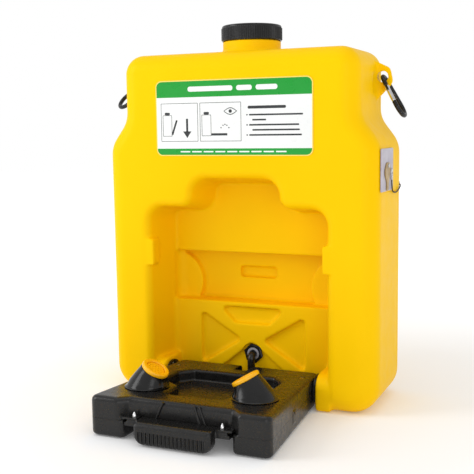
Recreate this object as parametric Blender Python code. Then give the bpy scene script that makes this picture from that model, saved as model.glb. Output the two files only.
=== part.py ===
"""Portable gravity-fed eyewash station: a moulded tank with a basin tray that folds down from its front.

The frame: origin at the middle of the tank's base, the front faces -Y, +Z up. In part names left and right
are those of someone who stands before the front, so left is -X.
Lengths below are in millimetres; points() turns them into metres when a mesh is made.
"""

import math

import bmesh
import bpy
from mathutils import Matrix, Vector

MM = 0.001
GAP = 0.3

# Tank
TANK_HALF_WIDTH = 220.0
TANK_UPPER_HALF_WIDTH = 190.5
TANK_HEIGHT = 538.0
TANK_DEPTH = 165.0
SHOULDER_LOW = 398.0
SHOULDER_HIGH = 437.0
TANK_EDGE_RADIUS = 28.0
TANK_WALL = 5.0
FRONT_Y = -TANK_DEPTH / 2
BACK_Y = TANK_DEPTH / 2

# Front recess, with depths measured from the tank's front face
RECESS_HALF_WIDTH = 145.0
RECESS_TOP = 303.0
NOTCH_HALF_WIDTH = 71.0
NOTCH_TOP = 347.0
RECESS_LIP = 13.0
RECESS_DRAFT = 9.0
PANEL_DEPTH = 68.0
UPPER_DEPTH = 72.0
BOSS_FACE_DEPTH = 86.0
BAY_DEPTH = 100.0
POCKET_DEPTH = 76.0
BAY_LOW = 145.0
BAY_HIGH = 225.0
BOSS_RADIUS = 50.0
BOSS_X = 144.0
BOSS_Z = 172.0
SLOT_DEPTH = 109.0

# Filler neck and cap
NECK_RADIUS = 45.0
THREAD_RADIUS = 41.0
NECK_BORE = 36.0
NECK_STEP = 555.5
NECK_TOP = 573.0
CAP_RADIUS = 47.4
CAP_WALL = 3.0
CAP_LOW = 556.0
CAP_TOP = 580.0

# Tray hinge
HINGE_Y = FRONT_Y + 30.0
HINGE_Z = 28.0
BARREL_RADIUS = 26.5
PIN_RADIUS = 5.0
PIN_CLEARANCE = 0.3
STOP_PIN_RADIUS = 2.2
STOP_CIRCLE = 17.0
HINGE_BOSS_RADIUS = 25.0
LUG_INNER = 126.4
LUG_OUTER = 150.0
LUG_TOP = 56.0

# Tray, drawn folded down
TRAY_FRONT = FRONT_Y - 203.0
TRAY_REAR = FRONT_Y + 52.0
TRAY_FRONT_HALF_WIDTH = 136.0
TRAY_REAR_HALF_WIDTH = 118.0
TRAY_LOW = 1.5
TRAY_TOP = 58.0
TRAY_REAR_SCALE = 0.645
PARTING = 27.0
TRAY_WALL = 3.0
NOTCH_FLOOR = FRONT_Y - 190.0
GRIP_BAY_FLOOR = FRONT_Y - 150.0
BASIN_FLOOR = 33.0
HANDLE_SCREW = (66.0, FRONT_Y - 197.0)

# Nozzles
NOZZLE_X = 84.0
NOZZLE_Y = FRONT_Y - 127.0
NOZZLE_BASE_RADIUS = 33.0
NOZZLE_TILT = math.radians(30.0)
RING_X = 70.0
RING_Z = 82.0
RING_RADIUS = 20.5

# Outlet and valve
OUTLET_Z = 61.0
PIPE_RADIUS = 6.2
VALVE_RADIUS = 15.0
ROTOR_RADIUS = 9.5

# Ears and carabiners
EAR_Y = FRONT_Y + 115.0
EAR_THICKNESS = 6.0
EAR_HOLE_X = 200.0
EAR_HOLE_Z = 497.0
EAR_HOLE_RADIUS = 8.5
EAR_TIP_RADIUS = 13.0
SNAP_WIRE = 3.5
SNAP_SMALL = 10.5
SNAP_BIG = 16.5
SNAP_SPACING = 40.0
SNAP_NOSE = 34.0
GATE_PIN = 10.0
GATE_LENGTH = 23.4

# Side tag
SIDE_X = TANK_HALF_WIDTH
TAG_PIVOT = (FRONT_Y + 55.0, 366.0)
RING_RIVET = (FRONT_Y + 76.0, 358.5)

YELLOW = ((0.93, 0.58, 0.01), 0.42, 0.0)
BLACK = ((0.025, 0.025, 0.027), 0.55, 0.0)
GLOSS_BLACK = ((0.012, 0.012, 0.013), 0.2, 0.0)
GREY = ((0.55, 0.56, 0.6), 0.5, 0.0)
RUBBER = ((0.02, 0.02, 0.02), 0.8, 0.0)
STEEL = ((0.7, 0.7, 0.71), 0.25, 1.0)
BRASS = ((0.5, 0.36, 0.16), 0.4, 1.0)
WHITE = ((0.85, 0.87, 0.85), 0.5, 0.0)
DARK_CORD = ((0.06, 0.05, 0.04), 0.8, 0.0)


# ---------------------------------------------------------------- mesh tools


def points(list_of_points):
    """Millimetre points as metre vectors."""
    return [Vector(p) * MM for p in list_of_points]


def rounded_outline(corners, steps=4):
    """A closed outline through anticlockwise (u, v, radius) corners, as (point, outward normal) pairs."""
    outline = []
    count = len(corners)
    for i, (u, v, radius) in enumerate(corners):
        here = Vector((u, v))
        before = (Vector(corners[i - 1][:2]) - here).normalized()
        after = (Vector(corners[(i + 1) % count][:2]) - here).normalized()
        normal_in = Vector((-before.y, before.x))
        normal_out = Vector((after.y, -after.x))
        if radius == 0:
            outline.append((here, (normal_in + normal_out) / (1 + normal_in.dot(normal_out))))
            continue
        turn = math.atan2(normal_in.cross(normal_out), normal_in.dot(normal_out))
        half_angle = before.angle(after) / 2
        centre = here + (before + after).normalized() * radius / math.sin(half_angle)
        side = 1 if turn > 0 else -1
        for k in range(steps + 1):
            normal = Matrix.Rotation(turn * k / steps, 2) @ normal_in
            outline.append((centre + normal * radius * side, normal))
    return outline


def mirrored(corners):
    """Adds the mirror image in u of corners on the +u side, keeping the outline anticlockwise."""
    return corners + [(-u, v, radius) for u, v, radius in reversed(corners)]


def edge_levels(low, high, low_radius, high_radius, steps=3):
    """(position, offset) levels of a solid between low and high whose two end edges are rounded."""
    levels = []
    for k in range(steps + 1 if low_radius else 1):
        angle = math.pi / 2 * k / steps
        levels.append((low + low_radius * (1 - math.cos(angle)), -low_radius * (1 - math.sin(angle))))
    for k in range(steps + 1 if high_radius else 1):
        angle = math.pi / 2 * (1 - k / steps)
        levels.append((high - high_radius * (1 - math.cos(angle)), -high_radius * (1 - math.sin(angle))))
    return levels


def mesh_from(name, sections, closed=False):
    """Bridges sections of equal length into one closed mesh, with end caps unless it closes on itself."""
    mesh = bpy.data.meshes.new(name)
    bm = bmesh.new()
    rings = [[bm.verts.new(p) for p in points(section)] for section in sections]
    pairs = list(zip(rings, rings[1:]))
    if closed:
        pairs.append((rings[-1], rings[0]))
    for a, b in pairs:
        for i in range(len(a)):
            j = (i + 1) % len(a)
            bm.faces.new((a[i], a[j], b[j], b[i]))
    if not closed:
        bm.faces.new(rings[0])
        bm.faces.new(rings[-1])
    bmesh.ops.recalc_face_normals(bm, faces=bm.faces)
    bm.to_mesh(mesh)
    bm.free()
    obj = bpy.data.objects.new(name, mesh)
    bpy.context.scene.collection.objects.link(obj)
    return obj


def stack(name, outline, levels, place):
    """A solid whose outline, offset at each level, is placed in space by place(u, v, level)."""
    sections = []
    for level, offset in levels:
        moved = [p + n * offset for p, n in outline]
        sections.append([place(p.x, p.y, level) for p in moved])
    return mesh_from(name, sections)


def facing_y(u, v, w):
    return (u, w, v)


def facing_z(u, v, w):
    return (u, v, w)


def facing_x(u, v, w):
    return (w, u, v)


def box(name, low, high):
    """A plain block between two corners."""
    corners = [(low[0], low[1], 0), (high[0], low[1], 0), (high[0], high[1], 0), (low[0], high[1], 0)]
    return stack(name, rounded_outline(corners), [(low[2], 0), (high[2], 0)], facing_z)


def axes_of(axis):
    """Two unit vectors square to an axis and to each other."""
    axis = Vector(axis).normalized()
    side = axis.orthogonal().normalized()
    if abs(axis.z) > 0.99:
        side = Vector((1, 0, 0))
    return side, axis.cross(side)


def turned(name, centre, axis, profile, sides=24, closed=False):
    """A turned solid: profile is (distance along the axis, radius) from one end to the other."""
    axis = Vector(axis).normalized()
    side, other = axes_of(axis)
    centre = Vector(centre)
    sections = []
    for along, radius in profile:
        ring = []
        for k in range(sides):
            angle = 2 * math.pi * k / sides
            ring.append(centre + axis * along + (side * math.cos(angle) + other * math.sin(angle)) * radius)
        sections.append(ring)
    return mesh_from(name, sections, closed)


def rod(name, centre, axis, start, end, radius, sides=24):
    return turned(name, centre, axis, [(start, radius), (end, radius)], sides)


def washer(name, centre, axis, start, end, inner, outer, sides=24):
    """A plain ring."""
    profile = [(start, outer), (end, outer), (end, inner), (start, inner)]
    return turned(name, centre, axis, profile, sides, closed=True)


def hex_nut(name, centre, axis, start, end, inner, outer):
    """A six-sided nut with a round bore."""
    nut = rod(name, centre, axis, start, end, outer, 6)
    return cut(nut, rod("bore", centre, axis, start - 5, end + 5, inner, 18))


def torus(name, centre, axis, major, minor, sides=20, around=6):
    profile = []
    for k in range(around):
        angle = 2 * math.pi * k / around
        profile.append((minor * math.sin(angle), major + minor * math.cos(angle)))
    return turned(name, centre, axis, profile, sides, closed=True)


def apply_modifiers(obj):
    """Replaces an object's mesh with the mesh its modifiers give."""
    bpy.context.view_layer.update()
    evaluated = obj.evaluated_get(bpy.context.evaluated_depsgraph_get())
    result = bpy.data.meshes.new_from_object(evaluated)
    obj.modifiers.clear()
    obj.data = result


def combine(target, tools, operation):
    """Applies one exact Boolean for each tool, then removes the tools."""
    for tool in tools:
        modifier = target.modifiers.new("combine", "BOOLEAN")
        modifier.operation = operation
        modifier.solver = "EXACT"
        modifier.object = tool
        apply_modifiers(target)
        bpy.data.objects.remove(tool)
    return target


def cut(target, *tools):
    return combine(target, tools, "DIFFERENCE")


def join(target, *tools):
    return combine(target, tools, "UNION")


def tube_along(name, route, radius, cyclic=False, resolution=2):
    """A round bar along route points."""
    curve = bpy.data.curves.new(name, "CURVE")
    curve.dimensions = "3D"
    curve.bevel_depth = radius * MM
    curve.bevel_resolution = resolution
    curve.use_fill_caps = True
    curve.render_resolution_u = 0
    spline = curve.splines.new("POLY")
    spline.points.add(len(route) - 1)
    for point, place in zip(spline.points, points(route)):
        point.co = (*place, 1)
    spline.use_cyclic_u = cyclic
    obj = bpy.data.objects.new(name, curve)
    bpy.context.scene.collection.objects.link(obj)
    return obj


def as_mesh(obj):
    """The mesh twin of a curve object, under the same name."""
    bpy.context.view_layer.update()
    evaluated = obj.evaluated_get(bpy.context.evaluated_depsgraph_get())
    mesh = bpy.data.meshes.new_from_object(evaluated)
    name = obj.name
    bpy.data.objects.remove(obj)
    twin = bpy.data.objects.new(name, mesh)
    bpy.context.scene.collection.objects.link(twin)
    return twin


def rounded_route(stops, radius, steps=4):
    """Route points through stops, with each bend turned into an arc."""
    stops = [Vector(p) for p in stops]
    route = [stops[0]]
    for before, here, after in zip(stops, stops[1:], stops[2:]):
        to_before = (before - here).normalized()
        to_after = (after - here).normalized()
        half_angle = to_before.angle(to_after) / 2
        reach = radius / math.tan(half_angle)
        centre = here + (to_before + to_after).normalized() * radius / math.sin(half_angle)
        start = here + to_before * reach - centre
        end = here + to_after * reach - centre
        turn = start.angle(end)
        for k in range(steps + 1):
            route.append(centre + Matrix.Rotation(turn * k / steps, 3, start.cross(end)) @ start)
    route.append(stops[-1])
    return route


def smooth_route(knots, per_span):
    """Catmull-Rom points through knots."""
    knots = [Vector(p) for p in knots]
    ends = [2 * knots[0] - knots[1]] + knots + [2 * knots[-1] - knots[-2]]
    route = []
    for a, b, c, d in zip(ends, ends[1:], ends[2:], ends[3:]):
        for k in range(per_span):
            t = k / per_span
            bend = 2 * a - 5 * b + 4 * c - d
            twist = 3 * b - a - 3 * c + d
            route.append(0.5 * (2 * b + (c - a) * t + bend * t * t + twist * t**3))
    route.append(knots[-1])
    return route


def paint(obj, finish):
    """Gives the object its own Principled material."""
    colour, roughness, metallic = finish
    material = bpy.data.materials.new(obj.name + "_material")
    material.use_nodes = True
    shader = material.node_tree.nodes["Principled BSDF"]
    shader.inputs["Base Color"].default_value = (*colour, 1)
    shader.inputs["Roughness"].default_value = roughness
    shader.inputs["Metallic"].default_value = metallic
    obj.data.materials.clear()
    obj.data.materials.append(material)
    return obj


def smooth(obj, angle=35):
    """Smooth shading with creases kept."""
    obj.data.shade_smooth()
    obj.data.set_sharp_from_angle(angle=math.radians(angle))
    return obj


def finish_part(obj, finish, pivot=None):
    """Paints and shades a part, and parents it to its joint's empty."""
    paint(obj, finish)
    if obj.type == "MESH":
        smooth(obj)
    if pivot is not None:
        world = obj.matrix_world.copy()
        obj.parent = pivot
        obj.matrix_parent_inverse = pivot.matrix_world.inverted()
        obj.matrix_world = world
    return obj


def pivot_at(name, place):
    """An empty on a joint's axis."""
    empty = bpy.data.objects.new(name, None)
    empty.location = Vector(place) * MM
    bpy.context.scene.collection.objects.link(empty)
    bpy.context.view_layer.update()
    return empty


# ---------------------------------------------------------------- tank


def tank_outline():
    right = [
        (TANK_HALF_WIDTH, 0, 42),
        (TANK_HALF_WIDTH, SHOULDER_LOW, 45),
        (TANK_UPPER_HALF_WIDTH, SHOULDER_HIGH, 40),
        (TANK_UPPER_HALF_WIDTH, TANK_HEIGHT, 30),
    ]
    return rounded_outline(mirrored(right), steps=4)


def drafted(depth):
    """How far the recess's walls have closed in at a depth."""
    return -RECESS_DRAFT * (depth - RECESS_LIP) / (PANEL_DEPTH - RECESS_LIP)


def lip_levels(depth, grow, steps=3):
    """Levels of the recess cutter: the mouth flares out to round the tank's edge, and the walls have draft."""
    levels = [(FRONT_Y - 6, RECESS_LIP + grow)]
    for k in range(steps + 1):
        angle = math.pi / 2 * k / steps
        inward = RECESS_LIP * (1 - math.cos(angle))
        levels.append((FRONT_Y + inward, RECESS_LIP * (1 - math.sin(angle)) + grow))
    levels.append((FRONT_Y + depth + grow, grow + drafted(depth)))
    return levels


def recess_corners(bottom):
    right = [
        (RECESS_HALF_WIDTH, bottom, 0),
        (RECESS_HALF_WIDTH, RECESS_TOP, 24),
        (NOTCH_HALF_WIDTH, RECESS_TOP, 18),
        (NOTCH_HALF_WIDTH, NOTCH_TOP, 26),
    ]
    return mirrored(right)


def bay_block(grow):
    """The deep bay between the two half-round bosses."""
    block = box(
        "bay",
        (-125 - grow, FRONT_Y + 60, BAY_LOW - grow),
        (125 + grow, FRONT_Y + BAY_DEPTH + grow, BAY_HIGH + grow),
    )
    for side in (-1, 1):
        cut(block, rod("boss", (side * BOSS_X, 0, BOSS_Z), (0, 1, 0), -50, 50, BOSS_RADIUS - grow, 28))
    return block


def side_chamber(grow):
    half_width = RECESS_HALF_WIDTH - RECESS_DRAFT - 0.5 + grow
    return box(
        "chamber",
        (-half_width, FRONT_Y + 60, BAY_LOW - grow),
        (half_width, FRONT_Y + BOSS_FACE_DEPTH + grow, BAY_HIGH + grow),
    )


def upper_chamber(grow):
    corners = [(u * 0.997, v - 0.4, r) for u, v, r in recess_corners(BAY_LOW + 5)]
    levels = [(FRONT_Y + y, grow + drafted(y)) for y in (40, UPPER_DEPTH)]
    levels[-1] = (levels[-1][0] + grow, levels[-1][1])
    return stack("upper", rounded_outline(corners), levels, facing_y)


def finger_slot(grow):
    corners = [(-31.5, 181, 4), (31.5, 181, 4), (31.5, 199, 4), (-31.5, 199, 4)]
    levels = [(FRONT_Y + BAY_DEPTH - 20, grow), (FRONT_Y + SLOT_DEPTH + grow, grow)]
    return stack("slot", rounded_outline(corners), levels, facing_y)


def brace_pockets():
    """The four shallow pockets that leave an X of ribs on the lower panel."""
    side = [(21, 84, 3), (88, 41, 4), (88, 125, 4)]
    outlines = [
        [(-29, 112, 4), (29, 112, 4), (53, 136, 4), (-53, 136, 4)],
        side,
        [(-u, v, r) for u, v, r in reversed(side)],
        [(-72, 20, 4), (72, 20, 4), (0, 79, 4)],
    ]
    levels = [(FRONT_Y + 50, 2.0), (FRONT_Y + PANEL_DEPTH, 2.0), (FRONT_Y + POCKET_DEPTH, 0)]
    pockets = [stack("pocket", rounded_outline(c, steps=3), levels, facing_y) for c in outlines]
    return pockets + [rod("counterbore", (0, FRONT_Y, OUTLET_Z), (0, 1, 0), 50, POCKET_DEPTH, 18.5, 24)]


def recess_cutters(grow):
    main = stack("recess", rounded_outline(recess_corners(-30)), lip_levels(PANEL_DEPTH, grow), facing_y)
    return [main, upper_chamber(grow), side_chamber(grow), bay_block(grow), finger_slot(grow)]


def detents():
    """Square pads on the recess's side lips that hold the folded tray."""
    pads = []
    for side in (-1, 1):
        xs = sorted((side * 138.5, side * 160))
        pads.append(box("detent", (xs[0], FRONT_Y + 0.4, 210), (xs[1], FRONT_Y + 22, 251)))
    return pads


def hinge_lugs():
    """Solid lugs at the recess's lower corners that the hinge pins sit in."""
    low, high = FRONT_Y + 2, FRONT_Y + PANEL_DEPTH + 2
    corners = [(low, GAP, 6), (high, GAP, 0), (high, LUG_TOP, 0), (low, LUG_TOP, 22)]
    return [
        stack("lug", rounded_outline(corners), [(side * LUG_INNER, 0), (side * LUG_OUTER, 0)], facing_x)
        for side in (-1, 1)
    ]


def tank_cavity():
    radius = TANK_EDGE_RADIUS - TANK_WALL
    levels = edge_levels(FRONT_Y + TANK_WALL, BACK_Y - TANK_WALL, radius, radius)
    levels = [(along, offset - TANK_WALL) for along, offset in levels]
    cavity = stack("cavity", tank_outline(), levels, facing_y)
    cut(cavity, *recess_cutters(TANK_WALL))
    back = FRONT_Y + POCKET_DEPTH + TANK_WALL
    cut(cavity, box("behind_pockets", (-96, FRONT_Y, -5), (96, back, 143)))
    cut(cavity, *detents())
    for side in (-1, 1):
        cut(cavity, rod("boss", (0, HINGE_Y, HINGE_Z), (side, 0, 0), 140, 177, HINGE_BOSS_RADIUS, 14))
    join(cavity, rod("neck_bore", (0, 0, 0), (0, 0, 1), TANK_HEIGHT - 25, NECK_TOP + 5, NECK_BORE, 24))
    return cavity


def ear(side):
    """A tab at the tank's upper side with a hole for the carabiner."""
    corners = [
        (180, 456, 0),
        (191, 463, 0),
        (EAR_HOLE_X + EAR_TIP_RADIUS + 3, EAR_HOLE_Z - 9, 12),
        (EAR_HOLE_X + EAR_TIP_RADIUS - 2, EAR_HOLE_Z + 13, 9),
        (188, 520, 0),
        (180, 520, 0),
    ]
    if side < 0:
        corners = [(-u, v, r) for u, v, r in reversed(corners)]
    levels = [(EAR_Y - EAR_THICKNESS / 2, 0), (EAR_Y + EAR_THICKNESS / 2, 0)]
    return stack("ear", rounded_outline(corners), levels, facing_y)


def tank_shell():
    levels = edge_levels(FRONT_Y, BACK_Y, TANK_EDGE_RADIUS, TANK_EDGE_RADIUS)
    tank = stack("tank_shell", tank_outline(), levels, facing_y)
    neck = [
        (TANK_HEIGHT - 20, NECK_RADIUS),
        (NECK_STEP, NECK_RADIUS),
        (NECK_STEP, THREAD_RADIUS),
        (NECK_TOP, THREAD_RADIUS),
    ]
    join(tank, turned("neck", (0, 0, 0), (0, 0, 1), neck, 28))
    join(tank, ear(1), ear(-1))
    cut(tank, *recess_cutters(0))
    cut(tank, *brace_pockets())
    join(tank, *detents(), *hinge_lugs())
    cut(tank, tank_cavity())
    cut(tank, rod("outlet", (0, FRONT_Y, OUTLET_Z), (0, 1, 0), 60, 95, 10.3, 20))
    for side in (-1, 1):
        pin = (0, HINGE_Y, HINGE_Z)
        cut(tank, rod("pin_hole", pin, (side, 0, 0), 120, 170, PIN_RADIUS + PIN_CLEARANCE, 16))
        stop = (0, HINGE_Y, HINGE_Z + STOP_CIRCLE)
        cut(tank, rod("stop_hole", stop, (side, 0, 0), 120, 168, STOP_PIN_RADIUS + PIN_CLEARANCE, 10))
        hole = (side * EAR_HOLE_X, EAR_Y, EAR_HOLE_Z)
        cut(tank, rod("ear_hole", hole, (0, 1, 0), -10, 10, EAR_HOLE_RADIUS, 16))
    return finish_part(tank, YELLOW)


def instruction_label():
    corners = [(-127, 382, 10), (127, 382, 10), (127, 496, 10), (-127, 496, 10)]
    levels = [(FRONT_Y - GAP - 0.6, 0), (FRONT_Y - GAP, 0)]
    finish_part(stack("instruction_label", rounded_outline(corners), levels, facing_y), WHITE)


# ---------------------------------------------------------------- filler cap


def filler_cap():
    pivot = pivot_at("cap_pivot", (0, 0, NECK_TOP))
    inner = CAP_RADIUS - CAP_WALL
    ceiling = CAP_TOP - 3.5
    profile = [
        (CAP_LOW, CAP_RADIUS),
        (CAP_TOP - 2.5, CAP_RADIUS),
        (CAP_TOP - 0.7, CAP_RADIUS - 0.8),
        (CAP_TOP, CAP_RADIUS - 2.8),
        (CAP_TOP, 1.6),
        (ceiling, 1.6),
        (ceiling, inner),
        (CAP_LOW, inner),
    ]
    cap = turned("cap", (0, 0, 0), (0, 0, 1), profile, 32, closed=True)
    finish_part(cap, BLACK, pivot)
    start, end = NECK_TOP + GAP, ceiling - GAP
    gasket = washer("cap_gasket", (0, 0, 0), (0, 0, 1), start, end, NECK_BORE + 0.5, 44, 24)
    finish_part(gasket, RUBBER, pivot)
    vent = [(ceiling - 2.2, 7), (ceiling - 1.2, 8), (end, 7), (end, 1.2), (CAP_TOP - 0.6, 1.2)]
    finish_part(turned("cap_vent", (0, 0, 0), (0, 0, 1), vent, 16), RUBBER, pivot)


# ---------------------------------------------------------------- outlet and valve


def outlet():
    centre = (0, FRONT_Y, OUTLET_Z)
    back = (0, 1, 0)
    wall_back = POCKET_DEPTH + TANK_WALL
    flange = wall_back + 2.6
    fitting = [(71.4, 10), (flange, 10), (flange, 17), (flange + 4.4, 17), (flange + 4.4, 6.5), (71.4, 6.5)]
    finish_part(turned("bulkhead_fitting", centre, back, fitting, 20, closed=True), GREY)
    gasket = washer("bulkhead_gasket", centre, back, wall_back + GAP, wall_back + 2.3, 10.3, 16.5, 20)
    finish_part(gasket, RUBBER)
    finish_part(hex_nut("bulkhead_nut", centre, back, 71.8, POCKET_DEPTH - GAP, 10.4, 16.5), BLACK)
    strainer = turned("strainer", centre, back, [(88.4, 14), (122, 14), (122, 8)], 12)
    cut(strainer, rod("bore", centre, back, 80, 120.5, 12.2, 12))
    for k in range(3):
        y = FRONT_Y + 93 + 9 * k
        cut(strainer, box("slot", (-20, y, OUTLET_Z - 6), (20, y + 4, OUTLET_Z + 6)))
    finish_part(strainer, GREY)
    stops = [(0, 84, OUTLET_Z), (0, 63.5, OUTLET_Z), (0, 63.5, HINGE_Z), (0, 47.5, HINGE_Z)]
    stops = [(x, FRONT_Y + y, z) for x, y, z in stops]
    elbow = as_mesh(tube_along("outlet_elbow", rounded_route(stops, 8, steps=3), PIPE_RADIUS, resolution=3))
    first, last = Vector((0, 2, 0)), Vector((0, -2, 0))
    longer = [Vector(stops[0]) + first, *rounded_route(stops, 8, steps=3)[1:-1], Vector(stops[-1]) + last]
    cut(elbow, as_mesh(tube_along("bore", longer, PIPE_RADIUS - 2, resolution=3)))
    finish_part(elbow, BLACK)


def valve(tray):
    centre = (0, HINGE_Y, HINGE_Z)
    body = rod("valve_body", centre, (1, 0, 0), -24, 24, VALVE_RADIUS, 20)
    join(body, rod("inlet", centre, (0, 1, 0), 5, 25, 9, 16))
    cut(body, rod("bore", centre, (1, 0, 0), -30, 30, ROTOR_RADIUS + GAP, 20))
    cut(body, rod("inlet_bore", centre, (0, 1, 0), 0, 30, PIPE_RADIUS + GAP, 16))
    finish_part(body, GREY)
    rotor_half = [(23.7, 9.5), (23.7, 7.0), (30, 7.0), (30, 5.3), (42, 5.3)]
    groove = [(15.5, 9.5), (15.5, 7.9), (18.5, 7.9), (18.5, 9.5)]
    right = groove + rotor_half
    outer = [(-a, r) for a, r in reversed(right)] + right
    rotor = turned("valve_rotor", centre, (1, 0, 0), outer + [(42, 3.8), (-42, 3.8)], 14, closed=True)
    cut(rotor, rod("port", centre, (0, 1, 0), 0, 15, 3.6, 12))
    finish_part(rotor, GREY, tray)
    for side, word in ((-1, "left"), (1, "right")):
        cover = washer("valve_cap_" + word, centre, (side, 0, 0), 24 + GAP, 27.3, 7.3, VALVE_RADIUS, 20)
        finish_part(cover, GREY)
        ring_centre = (side * 17, HINGE_Y, HINGE_Z)
        finish_part(torus("o_ring_" + word, ring_centre, (1, 0, 0), 8.75, 0.7, 14, 5), RUBBER, tray)


# ---------------------------------------------------------------- tray


def side_x(y):
    """The tray's half-width at a given y, which tapers towards the hinge."""
    share = (y - TRAY_FRONT) / (TRAY_REAR - TRAY_FRONT)
    return TRAY_FRONT_HALF_WIDTH + (TRAY_REAR_HALF_WIDTH - TRAY_FRONT_HALF_WIDTH) * share


def sloped(obj):
    """Lowers the tray's top towards the hinge, leaving the parting plane where it is."""
    for vertex in obj.data.vertices:
        x, y, z = vertex.co / MM
        if z > PARTING:
            share = (y - TRAY_FRONT) / (TRAY_REAR - TRAY_FRONT)
            vertex.co.z = (PARTING + (z - PARTING) * (1 - (1 - TRAY_REAR_SCALE) * share)) * MM
    return obj


def tray_top(y, nominal=TRAY_TOP):
    """Height of the sloped surface that lies at the nominal height at the tray's front."""
    share = (y - TRAY_FRONT) / (TRAY_REAR - TRAY_FRONT)
    return PARTING + (nominal - PARTING) * (1 - (1 - TRAY_REAR_SCALE) * share)


def tray_corners(notch_half, notch_top_half, notch_floor):
    """The tray seen from above, with the front notch that the handle stands in."""
    right = [
        (notch_half, notch_floor, 5),
        (notch_top_half, TRAY_FRONT, 8),
        (TRAY_FRONT_HALF_WIDTH, TRAY_FRONT, 11),
        (TRAY_REAR_HALF_WIDTH, TRAY_REAR, 10),
    ]
    return mirrored(right)


def basin_cutter(grow):
    right = [
        (46, FRONT_Y - 150, 10),
        (46, FRONT_Y - 103, 10),
        (85, FRONT_Y - 74, 10),
        (85, FRONT_Y - 28, 8),
        (66, FRONT_Y - 7, 8),
    ]
    lip = 4.0
    levels = [(BASIN_FLOOR - grow, grow - 4.0), (BASIN_FLOOR + 3, grow - 2.0)]
    if grow:
        levels.append((TRAY_TOP + 5, grow))
    else:
        levels += [(TRAY_TOP - lip, 0), (TRAY_TOP - 1.2, 1.2), (TRAY_TOP, lip), (TRAY_TOP + 5, lip)]
    return stack("basin", rounded_outline(mirrored(right), steps=3), levels, facing_z)


def screw_posts():
    """(x, y) of the four screws that hold the tray's halves together, rear pair first."""
    return [(side * x, FRONT_Y + y) for x, y in ((104, 10), (112, -172)) for side in (-1, 1)]


def tray_upper_shell(tray):
    outline = rounded_outline(tray_corners(77, 91, NOTCH_FLOOR), steps=3)
    levels = edge_levels(PARTING + GAP / 2, TRAY_TOP, 0, 7, steps=2)
    shell = stack("tray_upper_shell", outline, levels, facing_z)
    ceiling = TRAY_TOP - TRAY_WALL
    inner_levels = [(PARTING - 3, -TRAY_WALL), (ceiling - 3, -TRAY_WALL), (ceiling, -7)]
    inner = stack("inner", outline, inner_levels, facing_z)
    for part in (shell, inner):
        sloped(part)
    cut(inner, sloped(basin_cutter(TRAY_WALL)))
    for x, y in screw_posts():
        cut(inner, rod("post", (x, y, 0), (0, 0, 1), PARTING - 5, TRAY_TOP, 5.5, 8))
    cut(shell, inner, sloped(basin_cutter(0)))
    screw_x, screw_y = HANDLE_SCREW
    for side in (-1, 1):
        xs = sorted((side * 58.5, side * 82))
        join(shell, box("tab", (xs[0], TRAY_FRONT - 1, 31), (xs[1], NOTCH_FLOOR + 2, 33.5)))
        cut(shell, rod("tab_hole", (side * screw_x, screw_y, 0), (0, 0, 1), 20, 40, 2.2, 10))
        cut(shell, rod("stem_hole", (side * NOZZLE_X, NOZZLE_Y, 0), (0, 0, 1), 35, 70, 9.4, 18))
    cut(shell, rod("hub_hole", (0, HINGE_Y, HINGE_Z), (1, 0, 0), -140, 140, 9.3, 16))
    cut(shell, box("pipe_slot", (-11, FRONT_Y + 16, 20), (11, FRONT_Y + 70, 70)))
    for k, (x, y) in enumerate(screw_posts()):
        cut(shell, rod("screw_hole", (x, y, 0), (0, 0, 1), 20, 70 if k < 2 else 44, 2.1, 10))
        if k < 2:
            top = tray_top(y)
            cut(shell, rod("head_hole", (x, y, 0), (0, 0, 1), top - 3.4, top + 5, 4.4, 14))
    finish_part(shell, BLACK, tray)


def barrel_cutter(radius):
    """Everything outside the round heel that turns clear of the floor."""
    sections = []
    for x in (-150, 150):
        arc = []
        for k in range(9):
            angle = math.pi / 2 * k / 8
            arc.append((x, HINGE_Y + radius * math.cos(angle), HINGE_Z - radius * math.sin(angle)))
        rest = [(x, HINGE_Y, -20), (x, HINGE_Y + 60, -20), (x, HINGE_Y + 60, HINGE_Z)]
        sections.append(arc + rest)
    return mesh_from("heel", sections)


def tray_lower_shell(tray):
    outline = rounded_outline(tray_corners(79.5, 80.5, GRIP_BAY_FLOOR), steps=3)
    top = PARTING - GAP / 2
    shell = stack("tray_lower_shell", outline, edge_levels(TRAY_LOW, top, 5, 0), facing_z)
    inner_levels = [(TRAY_LOW + TRAY_WALL, -6), (TRAY_LOW + 7, -TRAY_WALL), (top + 3, -TRAY_WALL)]
    inner = stack("inner", outline, inner_levels, facing_z)
    cut(shell, barrel_cutter(BARREL_RADIUS))
    cut(inner, barrel_cutter(BARREL_RADIUS - TRAY_WALL))
    for x, y in screw_posts():
        cut(inner, rod("post", (x, y, 0), (0, 0, 1), -5, PARTING + 5, 5.5, 8))
    cut(shell, inner)
    cut(shell, rod("hub_hole", (0, HINGE_Y, HINGE_Z), (1, 0, 0), -140, 140, 9.3, 16))
    cut(shell, box("pipe_slot", (-11, FRONT_Y + 44, 14), (11, FRONT_Y + 70, 40)))
    for k, (x, y) in enumerate(screw_posts()):
        low = TRAY_LOW + 8 if k < 2 else -5
        cut(shell, rod("screw_hole", (x, y, 0), (0, 0, 1), low, 40, 2.1, 10))
        if k >= 2:
            cut(shell, rod("head_hole", (x, y, 0), (0, 0, 1), -5, TRAY_LOW + 3.4, 4.4, 14))
    finish_part(shell, BLACK, tray)


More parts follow.
